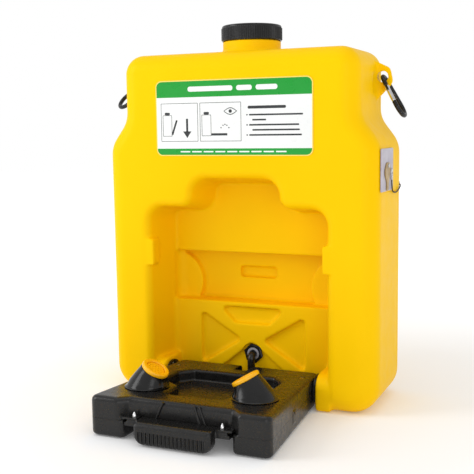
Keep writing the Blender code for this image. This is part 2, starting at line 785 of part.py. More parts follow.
def tray_screws(tray):
    """Countersunk screws: the rear pair from above, the front pair from below."""
    for k, (x, y) in enumerate(screw_posts()):
        if k < 2:
            head = tray_top(y) - 0.4
            shape = [(head, 3.0), (head - 1, 4.0), (head - 2.6, 4.0), (head - 2.6, 1.7), (12, 1.7)]
        else:
            head = TRAY_LOW + 0.4
            shape = [(head, 3.0), (head + 1, 4.0), (head + 2.6, 4.0), (head + 2.6, 1.7), (42, 1.7)]
        name = "tray_screw_" + ("rear_" if k < 2 else "front_") + ("left" if x < 0 else "right")
        finish_part(turned(name, (x, y, 0), (0, 0, 1), shape, 12), STEEL, tray)


def handle(tray):
    """The pull grip under the tray's front edge: a flange, two ears and a ribbed finger lip."""
    grip_front = TRAY_FRONT - 17
    ear_front = TRAY_FRONT - 1
    rear = GRIP_BAY_FLOOR - GAP
    corners = [(-78.8, NOTCH_FLOOR - 6, 0), (78.8, NOTCH_FLOOR - 6, 0), (78.8, rear, 6), (-78.8, rear, 6)]
    flange = stack("handle", rounded_outline(corners), [(21, 0), (PARTING - 0.4, 0)], facing_z)
    join(flange, box("ears", (-78.6, ear_front, 21.5), (78.6, NOTCH_FLOOR - GAP, 26.7)))
    join(flange, box("ear_tops", (-75, ear_front + 0.5, 22), (75, NOTCH_FLOOR - 2.5, 30.7)))
    corners = [(-58, 2, 15), (58, 2, 15), (58, 33, 4), (-58, 33, 4)]
    lip = stack("lip", rounded_outline(corners), edge_levels(grip_front, grip_front + 18, 6, 0), facing_y)
    top = box("top", (-57.6, grip_front + 8, 21), (57.6, NOTCH_FLOOR - GAP - 0.3, 32.6))
    join(flange, top, lip)
    for k in range(16):
        x = -45 + 90 * k / 15
        cut(flange, box("groove", (x - 1.4, grip_front - 5, -2), (x + 1.4, grip_front + 1.6, 19)))
    screw_x, screw_y = HANDLE_SCREW
    for side, word in ((-1, "left"), (1, "right")):
        place = (side * screw_x, screw_y, 0)
        cut(flange, rod("screw_hole", place, (0, 0, 1), 15, 35, 2.1, 10))
        spike = [(22.5, 1.8), (33.8, 1.8), (33.8, 3.2), (36, 3.2), (39, 2.4), (42.5, 0.5)]
        finish_part(turned("handle_screw_" + word, place, (0, 0, 1), spike, 12), STEEL, tray)
    finish_part(flange, BLACK, tray)


def hinge(side, word, tray):
    """One side of the hinge: two pins in the lug, and the tray's bushing, slotted for the stop pin."""
    centre = (0, HINGE_Y, HINGE_Z)
    axis = (side, 0, 0)
    finish_part(rod("hinge_pin_" + word, centre, axis, 110, 168, PIN_RADIUS, 16), STEEL)
    stop = (0, HINGE_Y, HINGE_Z + STOP_CIRCLE)
    finish_part(rod("stop_pin_" + word, stop, axis, 122.8, 166, STOP_PIN_RADIUS, 12), STEEL)
    bore = PIN_RADIUS + PIN_CLEARANCE
    hub = [(109, 9), (121.8, 9), (121.8, 23), (125.8, 23), (125.8, bore), (109, bore)]
    plate = turned("hinge_plate_" + word, centre, axis, hub, 20, closed=True)
    sections = [[(side * x, HINGE_Y + y, HINGE_Z + z) for y, z in stop_slot_outline()] for x in (118, 130)]
    cut(plate, mesh_from("stop_slot", sections))
    finish_part(plate, BLACK, tray)


def stop_slot_outline():
    """A quarter-circle slot with round ends, about the hinge axis, that the stop pin runs in."""
    half = STOP_PIN_RADIUS + 0.5
    outline = []
    for edge, first, last in ((half, 90, 180), (-half, 180, 90)):
        for k in range(7):
            angle = math.radians(first + (last - first) * k / 6)
            outline.append(Vector((math.cos(angle), math.sin(angle))) * (STOP_CIRCLE + edge))
        outward = Vector((math.cos(angle), math.sin(angle)))
        for k in range(1, 4):
            outline.append(outward * STOP_CIRCLE + Matrix.Rotation(math.pi * k / 4, 2) @ outward * edge)
    return [tuple(p) for p in outline]


def nozzle(side, word, tray):
    """A flared spray head with a leaning face, its nut, yellow ring and spray screen."""
    lean = Vector((-side * math.sin(NOZZLE_TILT), 0, math.cos(NOZZLE_TILT)))
    ring_centre = Vector((side * RING_X, NOZZLE_Y, RING_Z))
    base = Vector((side * NOZZLE_X, NOZZLE_Y, 0))
    sides = 18
    upright = Vector((0, 0, 1))

    def circle(centre, axis, radius):
        forward = Vector((0, 1, 0))
        across = forward.cross(axis)
        turn = [2 * math.pi * k / sides for k in range(sides)]
        return [centre + (across * math.cos(a) + forward * math.sin(a)) * radius for a in turn]

    def skirt(radius, lift):
        ring = circle(base, upright, radius)
        return [Vector((p.x, p.y, tray_top(p.y) + lift)) for p in ring]

    rim = ring_centre - lean * 3.3
    flare = [skirt(NOZZLE_BASE_RADIUS, GAP), skirt(NOZZLE_BASE_RADIUS, 1.2)]
    for share, radius in ((0.22, 27.5), (0.45, 23.5), (0.72, 20.8), (1.0, 19.6)):
        axis = upright.lerp(lean, share).normalized()
        centre = Vector((base.x, base.y, 56)).lerp(rim, share)
        flare.append(circle(centre, axis, radius))
    stem = ((37, 5.3), (43, 5.3), (43, 9), (tray_top(NOZZLE_Y), 9), (tray_top(NOZZLE_Y) + 1.4, 9))
    stem_rings = [circle(base + upright * z, upright, radius) for z, radius in stem]
    bore = [
        circle(rim, lean, 13.5),
        circle(rim - lean * 8, lean, 12.5),
        circle(base + upright * 56, upright, 3.8),
        circle(base + upright * 37, upright, 3.8),
    ]
    body = mesh_from("nozzle_body_" + word, stem_rings + flare + bore, closed=True)
    finish_part(body, GLOSS_BLACK, tray)
    nut = hex_nut("nozzle_nut_" + word, base, upright, 46, 51, 9.4, 15)
    finish_part(nut, BLACK, tray)
    profile = [(-3, RING_RADIUS), (2, RING_RADIUS), (3, RING_RADIUS - 1), (3, 14), (-3, 14)]
    finish_part(turned("nozzle_ring_" + word, ring_centre, lean, profile, 20, closed=True), YELLOW, tray)
    screen = rod("spray_screen_" + word, ring_centre, lean, -1.5, 0.5, 13.5, 16)
    for k in range(7):
        angle = 2 * math.pi * k / 6
        reach = 0 if k == 6 else 7.5
        across = Vector((0, 1, 0)).cross(lean)
        place = ring_centre + across * reach * math.cos(angle) + Vector((0, 1, 0)) * reach * math.sin(angle)
        cut(screen, rod("hole", place, lean, -5, 5, 1.4, 5))
    finish_part(screen, YELLOW, tray)


def tray_hose(side, word, tray):
    """The hose from the rotor's end to the nozzle's stem, with its clamp."""
    knots = [
        (35, HINGE_Y, HINGE_Z),
        (42, HINGE_Y, HINGE_Z),
        (49, HINGE_Y, HINGE_Z),
        (62, HINGE_Y - 8, 25),
        (76, HINGE_Y - 30, 17),
        (84, FRONT_Y - 40, 13.8),
        (84, FRONT_Y - 80, 13.8),
        (84, FRONT_Y - 108, 14.5),
        (84, FRONT_Y - 123, 19),
        (84, NOZZLE_Y, 28),
        (84, NOZZLE_Y, 35),
        (84, NOZZLE_Y, 42),
    ]
    knots = [(side * x, y, z) for x, y, z in knots]
    hose = as_mesh(tube_along("hose_" + word, smooth_route(knots, 2), 7.8, resolution=2))
    start, end = Vector((-side * 2, 0, 0)), Vector((0, 0, 2))
    route = [Vector(knots[0]) + start, *smooth_route(knots, 2)[1:-1], Vector(knots[-1]) + end]
    cut(hose, as_mesh(tube_along("bore", route, 5.9, resolution=2)))
    finish_part(hose, GREY, tray)
    centre = (side * 38.5, HINGE_Y, HINGE_Z)
    clamp = washer("hose_clamp_" + word, centre, (1, 0, 0), -2.5, 2.5, 8.1, 9.2, 20)
    finish_part(clamp, STEEL, tray)


def tray_assembly():
    tray = pivot_at("tray_pivot", (0, HINGE_Y, HINGE_Z))
    tray_upper_shell(tray)
    tray_lower_shell(tray)
    tray_screws(tray)
    handle(tray)
    valve(tray)
    for side, word in ((-1, "left"), (1, "right")):
        hinge(side, word, tray)
        nozzle(side, word, tray)
        tray_hose(side, word, tray)


# ---------------------------------------------------------------- carabiners


def snap_frame(side, tilt, twist):
    """The carabiner's own axes: u across the loop, v down its length from the ear hole, w square to it."""
    down = Vector((side * math.sin(tilt), 0, -math.cos(tilt)))
    across = Matrix.Rotation(twist, 3, down) @ Vector((0, 1, 0))
    place = Matrix.Identity(4)
    for column, axis in enumerate((across, down, across.cross(down))):
        for row in range(3):
            place[row][column] = axis[row]
    place.translation = Vector((side * EAR_HOLE_X, EAR_Y, EAR_HOLE_Z)) * MM
    return place


def snap_tangent():
    """Start and direction of the loop's straight gate side, from the small end to the big end."""
    lean = math.asin((SNAP_BIG - SNAP_SMALL) / SNAP_SPACING)
    normal = Vector((-math.cos(lean), -math.sin(lean), 0))
    start = Vector((0, SNAP_SMALL, 0)) + normal * SNAP_SMALL
    end = Vector((0, SNAP_SMALL + SNAP_SPACING, 0)) + normal * SNAP_BIG
    return start, (end - start).normalized(), normal


def carabiner(side, word, tilt, twist):
    """A pear-shaped snap hook through the ear hole, with a sprung gate on a pin."""
    place = snap_frame(side, tilt, twist)
    start, along, normal = snap_tangent()
    lean = math.atan2(-normal.y, -normal.x)
    big = Vector((0, SNAP_SMALL + SNAP_SPACING, 0))
    small = Vector((0, SNAP_SMALL, 0))
    route = [start + along * SNAP_NOSE]
    for k in range(13):
        angle = math.pi + lean - (math.pi + 2 * lean) * k / 12
        route.append(big + Vector((math.cos(angle), math.sin(angle), 0)) * SNAP_BIG)
    for k in range(9):
        angle = -lean - (math.pi - 2 * lean) * k / 8
        route.append(small + Vector((math.cos(angle), math.sin(angle), 0)) * SNAP_SMALL)
    route.append(start + along * 13.5)
    pin = start + along * GATE_PIN
    body = as_mesh(tube_along("carabiner_body_" + word, route, SNAP_WIRE))
    for w in (-1, 1):
        plane = sorted((w * 1.5, w * 6))
        cheek = snap_block(pin, along, -4.5, 5, 5, plane)
        cut(body, cheek)
    cut(body, rod("pin_hole", pin, (0, 0, 1), -6, 6, 1.4, 10))
    bar = [(-2.4, 3.2), (GATE_LENGTH - 1, 3.2), (GATE_LENGTH, 2.6)]
    gate = turned("carabiner_gate_" + word, pin, along, bar, 12)
    cut(gate, snap_block(pin, along, -5, 5.5, 5, (-1.8, 1.8)))
    cut(gate, rod("pin_hole", pin, (0, 0, 1), -6, 6, 1.4, 10))
    pin_rod = rod("gate_pin_" + word, pin, (0, 0, 1), -3.8, 3.8, 1.1, 10)
    swing = pivot_at("carabiner_pivot_" + word, (side * EAR_HOLE_X, EAR_Y, EAR_HOLE_Z))
    hinge_point = pivot_at("gate_pivot_" + word, (place @ (pin * MM)) / MM)
    for obj, finish, pivot in ((body, BLACK, swing), (gate, STEEL, hinge_point), (pin_rod, STEEL, swing)):
        obj.data.transform(place)
        finish_part(obj, finish, pivot)


def snap_block(pin, along, low, high, half_width, plane):
    """A block lined up with the gate, from low to high along it and between two heights over the loop."""
    across = Vector((-along.y, along.x, 0))
    sections = []
    for w in plane:
        corners = [(low, -half_width), (high, -half_width), (high, half_width), (low, half_width)]
        sections.append([pin + along * a + across * b + Vector((0, 0, w)) for a, b in corners])
    return mesh_from("block", sections)


# ---------------------------------------------------------------- side tag and lanyard


def side_tag():
    y0, y1 = FRONT_Y + 20, FRONT_Y + 91
    corners = [(y0, 329, 3), (y1, 329, 3), (y1, 391, 3), (y0, 391, 3)]
    levels = [(SIDE_X + GAP, 0), (SIDE_X + 1.8, 0)]
    plate = stack("tag_plate", rounded_outline(corners, steps=3), levels, facing_x)
    for place in (TAG_PIVOT, RING_RIVET):
        cut(plate, rod("hole", (0, *place), (1, 0, 0), SIDE_X - 5, SIDE_X + 5, 1.9, 12))
    finish_part(plate, GREY)
    pivot = pivot_at("tag_pivot", (SIDE_X, *TAG_PIVOT))
    y, z = TAG_PIVOT
    shape = [
        (y - 9, z - 36, 3),
        (y + 2, z - 36, 3),
        (y + 4, z - 24, 8),
        (y + 12, z - 12, 9),
        (y + 11, z + 4.5, 6),
        (y - 9, z + 4.5, 6),
        (y - 22, z - 9, 8),
        (y - 8, z - 25, 8),
    ]
    levels = [(SIDE_X + 2.2, 0), (SIDE_X + 3.6, 0)]
    tag = stack("inspection_tag", rounded_outline(shape, steps=3), levels, facing_x)
    cut(tag, rod("hole", (0, *TAG_PIVOT), (1, 0, 0), SIDE_X, SIDE_X + 6, 1.9, 12))
    finish_part(tag, BRASS, pivot)
    for name, place in (("tag_rivet", TAG_PIVOT), ("ring_rivet", RING_RIVET)):
        shape = [(SIDE_X + 0.3, 1.5), (SIDE_X + 4.2, 1.5), (SIDE_X + 4.2, 3.2), (SIDE_X + 5, 2.2)]
        finish_part(turned(name, (0, *place), (1, 0, 0), shape, 12), STEEL)
    ring_centre = (SIDE_X + 3.3, RING_RIVET[0], RING_RIVET[1] - 2.2)
    finish_part(torus("tag_ring", ring_centre, (1, 0, 0), 4.8, 0.75, sides=14, around=5), STEEL)


def lanyard():
    """The cord from the ring round the tank's rear corner into its anchor."""
    low_y, low_z = RING_RIVET[0], RING_RIVET[1] - 2.2 - 5.55 - GAP
    top = (SIDE_X + 3.4, low_y, low_z)
    crimp = rod("cord_crimp", top, (0, 0, -1), 0, 6, 1.4, 12)
    finish_part(crimp, STEEL)
    corner_x = SIDE_X - TANK_EDGE_RADIUS
    corner_y = BACK_Y - TANK_EDGE_RADIUS

    def round_corner(degrees, lift, height):
        angle = math.radians(degrees)
        reach = TANK_EDGE_RADIUS + lift
        return (corner_x + reach * math.cos(angle), corner_y + reach * math.sin(angle), height)

    knots = [
        (SIDE_X + 3.4, low_y, low_z - 6 - GAP),
        (SIDE_X + 3.5, low_y + 0.3, low_z - 12),
        (SIDE_X + 3.4, low_y + 6, 327.5),
        (SIDE_X + 3.2, FRONT_Y + 96, 324.2),
        (SIDE_X + 2.6, FRONT_Y + 112, 324),
        (SIDE_X + 2.0, FRONT_Y + 130, 327.2),
        round_corner(6, 1.6, 330.5),
        round_corner(22, 1.6, 332.6),
        round_corner(39.2, 1.8, 333.6),
    ]
    finish_part(tube_along("tag_cord", smooth_route(knots, 3), 1.0), DARK_CORD)
    sections = []
    for degrees in (40, 45, 50, 55):
        low, high = round_corner(degrees, 0.4, 0), round_corner(degrees, 4.2, 0)
        sections.append([(*low[:2], 330.5), (*high[:2], 331), (*high[:2], 336.5), (*low[:2], 337)])
    finish_part(mesh_from("cord_anchor", sections), BLACK)


def clear_scene():
    for obj in list(bpy.data.objects):
        bpy.data.objects.remove(obj)


def build():
    clear_scene()
    tank_shell()
    instruction_label()
    filler_cap()
    outlet()
    tray_assembly()
    carabiner(1, "right", math.radians(29), 0.0)
    carabiner(-1, "left", math.radians(62), math.radians(-40))
    side_tag()
    lanyard()


build()
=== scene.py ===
"""Looks of a portable gravity-fed eyewash station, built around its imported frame.

Lengths below are millimetres in the frame's axes: X across the front, -Y out of the front, Z up.
points() turns them into metres when a mesh is made.
"""

import math

import bmesh
import bpy
from mathutils import Matrix, Vector


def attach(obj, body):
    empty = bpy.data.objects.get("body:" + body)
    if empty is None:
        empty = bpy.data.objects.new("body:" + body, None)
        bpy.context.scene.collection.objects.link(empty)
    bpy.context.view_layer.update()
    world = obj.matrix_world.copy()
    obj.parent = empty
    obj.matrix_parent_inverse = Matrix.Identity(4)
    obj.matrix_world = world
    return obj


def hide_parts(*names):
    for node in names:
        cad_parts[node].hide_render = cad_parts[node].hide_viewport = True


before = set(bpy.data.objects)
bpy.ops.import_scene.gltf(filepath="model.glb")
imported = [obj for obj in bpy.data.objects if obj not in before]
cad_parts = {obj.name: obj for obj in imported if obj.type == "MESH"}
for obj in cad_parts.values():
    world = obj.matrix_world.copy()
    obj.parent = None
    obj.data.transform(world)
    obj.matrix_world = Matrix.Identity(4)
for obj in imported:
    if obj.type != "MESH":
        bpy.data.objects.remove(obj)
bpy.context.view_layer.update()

MM = 0.001
GAP = 0.3

# Tank
TANK_HALF_WIDTH = 220.0
TANK_UPPER_HALF_WIDTH = 190.5
TANK_HEIGHT = 538.0
SHOULDER_LOW = 398.0
SHOULDER_HIGH = 437.0
TANK_EDGE_RADIUS = 28.0
TANK_WALL = 5.0
FRONT_Y = -82.5
BACK_Y = 82.5

# Front recess, with depths measured from the tank's front face
RECESS_HALF_WIDTH = 145.0
RECESS_TOP = 303.0
NOTCH_HALF_WIDTH = 71.0
NOTCH_TOP = 347.0
RECESS_LIP = 13.0
RECESS_DRAFT = 9.0
PANEL_DEPTH = 68.0
UPPER_DEPTH = 72.0
BOSS_FACE_DEPTH = 86.0
BAY_DEPTH = 100.0
POCKET_DEPTH = 76.0
SLOT_DEPTH = 109.0
BAY_LOW = 145.0
BAY_HIGH = 225.0
BOSS_RADIUS = 50.0
BOSS_X = 144.0
BOSS_Z = 172.0

# Filler neck and cap
NECK_RADIUS = 45.0
THREAD_RADIUS = 41.0
NECK_BORE = 36.0
NECK_STEP = 555.5
NECK_TOP = 573.0
CAP_RADIUS = 47.4
CAP_LOW = 556.0
CAP_TOP = 580.0
CAP_RIBS = 84
GRIP_GROOVES = 17

# Tray, drawn folded down, and its hinge
HINGE_Y = FRONT_Y + 30.0
HINGE_Z = 28.0
BARREL_RADIUS = 26.5
PIN_RADIUS = 5.0
STOP_PIN_RADIUS = 2.2
STOP_CIRCLE = 17.0
LUG_INNER = 126.4
LUG_OUTER = 150.0
LUG_TOP = 56.0
TRAY_FRONT = FRONT_Y - 203.0
TRAY_REAR = FRONT_Y + 52.0
TRAY_FRONT_HALF_WIDTH = 136.0
TRAY_REAR_HALF_WIDTH = 118.0
TRAY_LOW = 1.5
TRAY_TOP = 58.0
TRAY_REAR_SCALE = 0.645
PARTING = 27.0
TRAY_WALL = 3.0
NOTCH_FLOOR = FRONT_Y - 190.0
GRIP_BAY_FLOOR = FRONT_Y - 150.0
BASIN_FLOOR = 33.0
HANDLE_SCREW = (66.0, FRONT_Y - 197.0)
BEARING_RADIUS = 9.3
SCREW_BORE = 2.1
SCREW_HEAD_BORE = 4.6

# Nozzles
NOZZLE_X = 84.0
NOZZLE_Y = FRONT_Y - 127.0
NOZZLE_BASE_RADIUS = 33.0
NOZZLE_TILT = math.radians(30.0)
RING_X = 70.0
RING_Z = 82.0
RING_RADIUS = 20.5
NOZZLE_SIDES = 72

# Outlet and valve
OUTLET_Z = 61.0
PIPE_RADIUS = 6.2
VALVE_RADIUS = 15.0

# Ears and carabiners
EAR_Y = FRONT_Y + 115.0
EAR_THICKNESS = 6.0
EAR_HOLE_X = 200.0
EAR_HOLE_Z = 497.0
EAR_HOLE_RADIUS = 8.5
EAR_TIP_RADIUS = 13.0
SNAP_WIRE = 3.35
SNAP_SMALL = 10.5
SNAP_BIG = 16.5
SNAP_SPACING = 40.0
SNAP_NOSE = 34.0
GATE_PIN = 10.0
GATE_LENGTH = 23.4

# Label and side tag
LABEL_HALF_WIDTH = 127.0
LABEL_LOW = 382.0
LABEL_HIGH = 496.0
LABEL_CORNER = 10.0
LABEL_BORDER = 1.6
SIDE_X = TANK_HALF_WIDTH
TAG_PIVOT = (FRONT_Y + 55.0, 366.0)
RING_RIVET = (FRONT_Y + 76.0, 358.5)
CORD_RADIUS = 1.0

SIDES = ((-1, "left"), (1, "right"))
ORIGIN = (0, 0, 0)
ACROSS = (1, 0, 0)
BACK = (0, 1, 0)
UP = (0, 0, 1)
WHITE = (1, 1, 1, 1)


# ---------------------------------------------------------------- mesh tools


def points(list_of_points):
    """Millimetre points as metre vectors."""
    return [Vector(p) * MM for p in list_of_points]


def rounded_outline(corners, steps=8):
    """A closed outline through anticlockwise (u, v, radius) corners, as (point, outward normal) pairs."""
    outline = []
    count = len(corners)
    for i, (u, v, radius) in enumerate(corners):
        here = Vector((u, v))
        before = (Vector(corners[i - 1][:2]) - here).normalized()
        after = (Vector(corners[(i + 1) % count][:2]) - here).normalized()
        normal_in = Vector((-before.y, before.x))
        normal_out = Vector((after.y, -after.x))
        if radius == 0:
            outline.append((here, (normal_in + normal_out) / (1 + normal_in.dot(normal_out))))
            continue
        turn = math.atan2(normal_in.cross(normal_out), normal_in.dot(normal_out))
        half_angle = before.angle(after) / 2
        centre = here + (before + after).normalized() * radius / math.sin(half_angle)
        side = 1 if turn > 0 else -1
        for k in range(steps + 1):
            normal = Matrix.Rotation(turn * k / steps, 2) @ normal_in
            outline.append((centre + normal * radius * side, normal))
    return outline


def mirrored(corners):
    """Adds the mirror image in u of corners on the +u side, keeping the outline anticlockwise."""
    return corners + flipped(corners)


def flipped(corners):
    """The mirror image in u, still anticlockwise."""
    return [(-u, v, radius) for u, v, radius in reversed(corners)]


def rectangle(left, low, right, high, low_radius=0, high_radius=None):
    """A rectangle's corners, with one radius for the lower pair and one for the upper pair."""
    top = low_radius if high_radius is None else high_radius
    return [(left, low, low_radius), (right, low, low_radius), (right, high, top), (left, high, top)]


def arc(steps, first=0.0, last=math.pi / 2):
    """(cosine, sine) pairs at equal steps from one angle to another."""
    angles = [first + (last - first) * k / steps for k in range(steps + 1)]
    return [(math.cos(angle), math.sin(angle)) for angle in angles]


def full_turn(steps):
    return arc(steps, 0, 2 * math.pi)[:-1]


def edge_levels(low, high, low_radius, high_radius, steps=6):
    """(position, offset) levels of a solid between low and high whose two end edges are rounded."""
    bend = arc(steps)
    levels = []
    for place, radius, way, turns in ((low, low_radius, 1, bend), (high, high_radius, -1, bend[::-1])):
        for c, s in turns if radius else bend[:1]:
            levels.append((place + way * radius * (1 - c), -radius * (1 - s)))
    return levels


def link(name, mesh):
    obj = bpy.data.objects.new(name, mesh)
    bpy.context.scene.collection.objects.link(obj)
    return obj


def mesh_from(name, sections, closed=False):
    """Bridges sections of equal length into a mesh; the ends are capped unless it closes on itself."""
    mesh = bpy.data.meshes.new(name)
    bm = bmesh.new()
    rings = [[bm.verts.new(p) for p in points(section)] for section in sections]
    pairs = list(zip(rings, rings[1:]))
    if closed:
        pairs.append((rings[-1], rings[0]))
    for a, b in pairs:
        for i in range(len(a)):
            j = (i + 1) % len(a)
            bm.faces.new((a[i], a[j], b[j], b[i]))
    if not closed:
        bm.faces.new(rings[0])
        bm.faces.new(rings[-1])
    bmesh.ops.recalc_face_normals(bm, faces=bm.faces)
    bm.to_mesh(mesh)
    bm.free()
    return link(name, mesh)


def stack(name, corners, levels, place, steps=8):
    """A solid whose outline, offset at each level, is placed in space by place(u, v, level)."""
    sections = []
    for level, offset in levels:
        moved = [p + n * offset for p, n in rounded_outline(corners, steps)]
        sections.append([place(p.x, p.y, level) for p in moved])
    return mesh_from(name, sections)


def facing_y(u, v, w):
    return (u, w, v)


def facing_z(u, v, w):
    return (u, v, w)


def facing_x(u, v, w):
    return (w, u, v)


def box(low, high):
    """A plain block between two corners."""
    levels = [(low[2], 0), (high[2], 0)]
    return stack("box", rectangle(low[0], low[1], high[0], high[1]), levels, facing_z)


def axes_of(axis):
    """Two unit vectors square to an axis and to each other."""
    axis = Vector(axis).normalized()
    side = Vector(ACROSS) if abs(axis.z) > 0.99 else axis.orthogonal().normalized()
    return side, axis.cross(side)


def turned(name, centre, axis, profile, sides=48, closed=False):
    """A turned solid: profile is (distance along the axis, radius) from one end to the other."""
    axis = Vector(axis).normalized()
    side, other = axes_of(axis)
    centre = Vector(centre)
    round_trip = full_turn(sides)
    sections = []
    for along, radius in profile:
        sections.append([centre + axis * along + (side * c + other * s) * radius for c, s in round_trip])
    return mesh_from(name, sections, closed)


def rod(centre, axis, start, end, radius, sides=32):
    return turned("rod", centre, axis, [(start, radius), (end, radius)], sides)


def chamfered(profile, size):
    """A turned part's profile with each corner cut by a small chamfer."""
    result = []
    for before, here, after in zip([profile[-1]] + profile[:-1], profile, profile[1:] + [profile[0]]):
        here = Vector(here)
        for other in (before, after):
            step = Vector(other) - here
            result.append(tuple(here + step * min(size / step.length, 0.45)))
    return result


def torus(name, centre, axis, major, minor, sides=48, around=12):
    profile = [(minor * s, major + minor * c) for c, s in full_turn(around)]
    return turned(name, centre, axis, profile, sides, closed=True)


def ball(centre, radii, sides=32):
    """An ellipsoid."""
    mesh = bpy.data.meshes.new("ball")
    bm = bmesh.new()
    bmesh.ops.create_uvsphere(bm, u_segments=sides, v_segments=sides // 2, radius=1)
    for vertex in bm.verts:
        vertex.co = Vector([(c + v * r) * MM for c, v, r in zip(centre, vertex.co, radii)])
    bm.to_mesh(mesh)
    bm.free()
    return link("ball", mesh)


def evaluated_mesh(obj):
    bpy.context.view_layer.update()
    return bpy.data.meshes.new_from_object(obj.evaluated_get(bpy.context.evaluated_depsgraph_get()))


def apply_modifiers(obj):
    """Replaces an object's mesh with the mesh its modifiers give."""
    result = evaluated_mesh(obj)
    obj.modifiers.clear()
    obj.data = result


def combine(target, tools, operation):
    """Applies one exact Boolean with all the tools at once, then removes them."""
    group = bpy.data.collections.new("tools")
    bpy.context.scene.collection.children.link(group)
    for tool in tools:
        group.objects.link(tool)
    modifier = target.modifiers.new("combine", "BOOLEAN")
    modifier.operation = operation
    modifier.solver = "EXACT"
    modifier.operand_type = "COLLECTION"
    modifier.collection = group
    apply_modifiers(target)
    for tool in tools:
        bpy.data.objects.remove(tool)
    bpy.data.collections.remove(group)
    return target


def cut(target, *tools):
    return combine(target, tools, "DIFFERENCE")


def join(target, *tools):
    return combine(target, tools, "UNION")


def copy_of(obj, name):
    return link(name, obj.data.copy())


def soften(obj, voxel, rounds, keep):
    """Melts a block model's hard edges into moulded fillets, then thins its mesh."""
    remesh = obj.modifiers.new("remesh", "REMESH")
    remesh.mode = "VOXEL"
    remesh.voxel_size = voxel * MM
    relax = obj.modifiers.new("relax", "SMOOTH")
    relax.factor = 0.5
    relax.iterations = rounds
    thin = obj.modifiers.new("thin", "DECIMATE")
    thin.ratio = keep
    apply_modifiers(obj)
    return obj


def shade(obj, angle=40):
    """Smooth shading that keeps creases and leaves large flat faces flat."""
    obj.data.shade_smooth()
    obj.data.set_sharp_from_angle(angle=math.radians(angle))
    weigh = obj.modifiers.new("weigh", "WEIGHTED_NORMAL")
    weigh.keep_sharp = True
    apply_modifiers(obj)
    return obj


def tube_along(name, route, radius, resolution=4, cyclic=False):
    """A round bar along route points."""
    curve = bpy.data.curves.new(name, "CURVE")
    curve.dimensions = "3D"
    curve.bevel_depth = radius * MM
    curve.bevel_resolution = resolution
    curve.use_fill_caps = not cyclic
    spline = curve.splines.new("POLY")
    spline.points.add(len(route) - 1)
    for point, place in zip(spline.points, points(route)):
        point.co = (*place, 1)
    spline.use_cyclic_u = cyclic
    guide = link(name, curve)
    mesh = evaluated_mesh(guide)
    bpy.data.objects.remove(guide)
    return link(name, mesh)


def rounded_route(stops, radius, steps=8):
    """Route points through stops, with each bend turned into an arc."""
    stops = [Vector(p) for p in stops]
    route = [stops[0]]
    for before, here, after in zip(stops, stops[1:], stops[2:]):
        to_before = (before - here).normalized()
        to_after = (after - here).normalized()
        half_angle = to_before.angle(to_after) / 2
        reach = radius / math.tan(half_angle)
        centre = here + (to_before + to_after).normalized() * radius / math.sin(half_angle)
        start = here + to_before * reach - centre
        end = here + to_after * reach - centre
        turn = start.angle(end)
        for k in range(steps + 1):
            route.append(centre + Matrix.Rotation(turn * k / steps, 3, start.cross(end)) @ start)
    route.append(stops[-1])
    return route


def smooth_route(knots, per_span):
    """Catmull-Rom points through knots."""
    knots = [Vector(p) for p in knots]
    ends = [2 * knots[0] - knots[1]] + knots + [2 * knots[-1] - knots[-2]]
    route = []
    for a, b, c, d in zip(ends, ends[1:], ends[2:], ends[3:]):
        for k in range(per_span):
            t = k / per_span
            bend = 2 * a - 5 * b + 4 * c - d
            twist = 3 * b - a - 3 * c + d
            route.append(0.5 * (2 * b + (c - a) * t + bend * t * t + twist * t**3))
    route.append(knots[-1])
    return route


def paint(obj, material):
    obj.data.materials.clear()
    obj.data.materials.append(material)


def place_piece(obj, body, slot, *nodes, material=None):
    """Paints a piece, makes it ride on its body and lets it stand for the frame's own nodes."""
    paint(obj, material or FINISHES[slot])
    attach(obj, body)
    if nodes:
        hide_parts(*nodes)
    return obj


# ---------------------------------------------------------------- materials


class Shader:
    """A Principled material and short calls for the nodes that feed it."""

    def __init__(self, name, roughness, metallic=0.0, specular=0.5):
        self.material = bpy.data.materials.new(name)
        self.material.use_nodes = True
        self.nodes = self.material.node_tree.nodes
        self.links = self.material.node_tree.links
        self.surface = self.nodes["Principled BSDF"]
        settings = {"Roughness": roughness, "Metallic": metallic, "Specular IOR Level": specular}
        for socket, value in settings.items():
            self.surface.inputs[socket].default_value = value
        self.place = self.nodes.new("ShaderNodeTexCoord").outputs["Object"]

    def node(self, kind, linked, **values):
        """Adds a node with some inputs linked and some set."""
        node = self.nodes.new("ShaderNode" + kind)
        for socket, source in linked.items():
            self.links.new(source, node.inputs[socket])
        for socket, value in values.items():
            node.inputs[socket].default_value = value
        return node

    def stretched(self, scale):
        """The object's own coordinates, scaled along each axis."""
        return self.node("Mapping", {"Vector": self.place}, Scale=scale).outputs["Vector"]

    def noise(self, scale, detail, place=None):
        node = self.node("TexNoise", {"Vector": place or self.place}, Scale=scale, Detail=detail)
        return node.outputs["Fac"]

    def cells(self, scale):
        return self.node("TexVoronoi", {"Vector": self.place}, Scale=scale).outputs["Distance"]

    def ramp(self, value, low, high, first, last):
        """Maps value between low and high onto first to last, which are colours or numbers."""
        node = self.node("ValToRGB", {"Fac": value})
        stops = node.color_ramp.elements
        stops[0].position, stops[1].position = low, high
        for stop, colour in zip(stops, (first, last)):
            stop.color = (*colour, 1) if isinstance(colour, tuple) else (colour, colour, colour, 1)
        return node.outputs["Color"]

    def feed(self, socket, value):
        self.links.new(value, self.surface.inputs[socket])

    def bump(self, height, strength, depth):
        """Adds a height to the surface on top of any earlier one; depth is in millimetres."""
        linked = {"Height": height}
        earlier = self.surface.inputs["Normal"].links
        if earlier:
            linked["Normal"] = earlier[0].from_socket
        node = self.node("Bump", linked, Strength=strength, Distance=depth * MM)
        self.feed("Normal", node.outputs["Normal"])


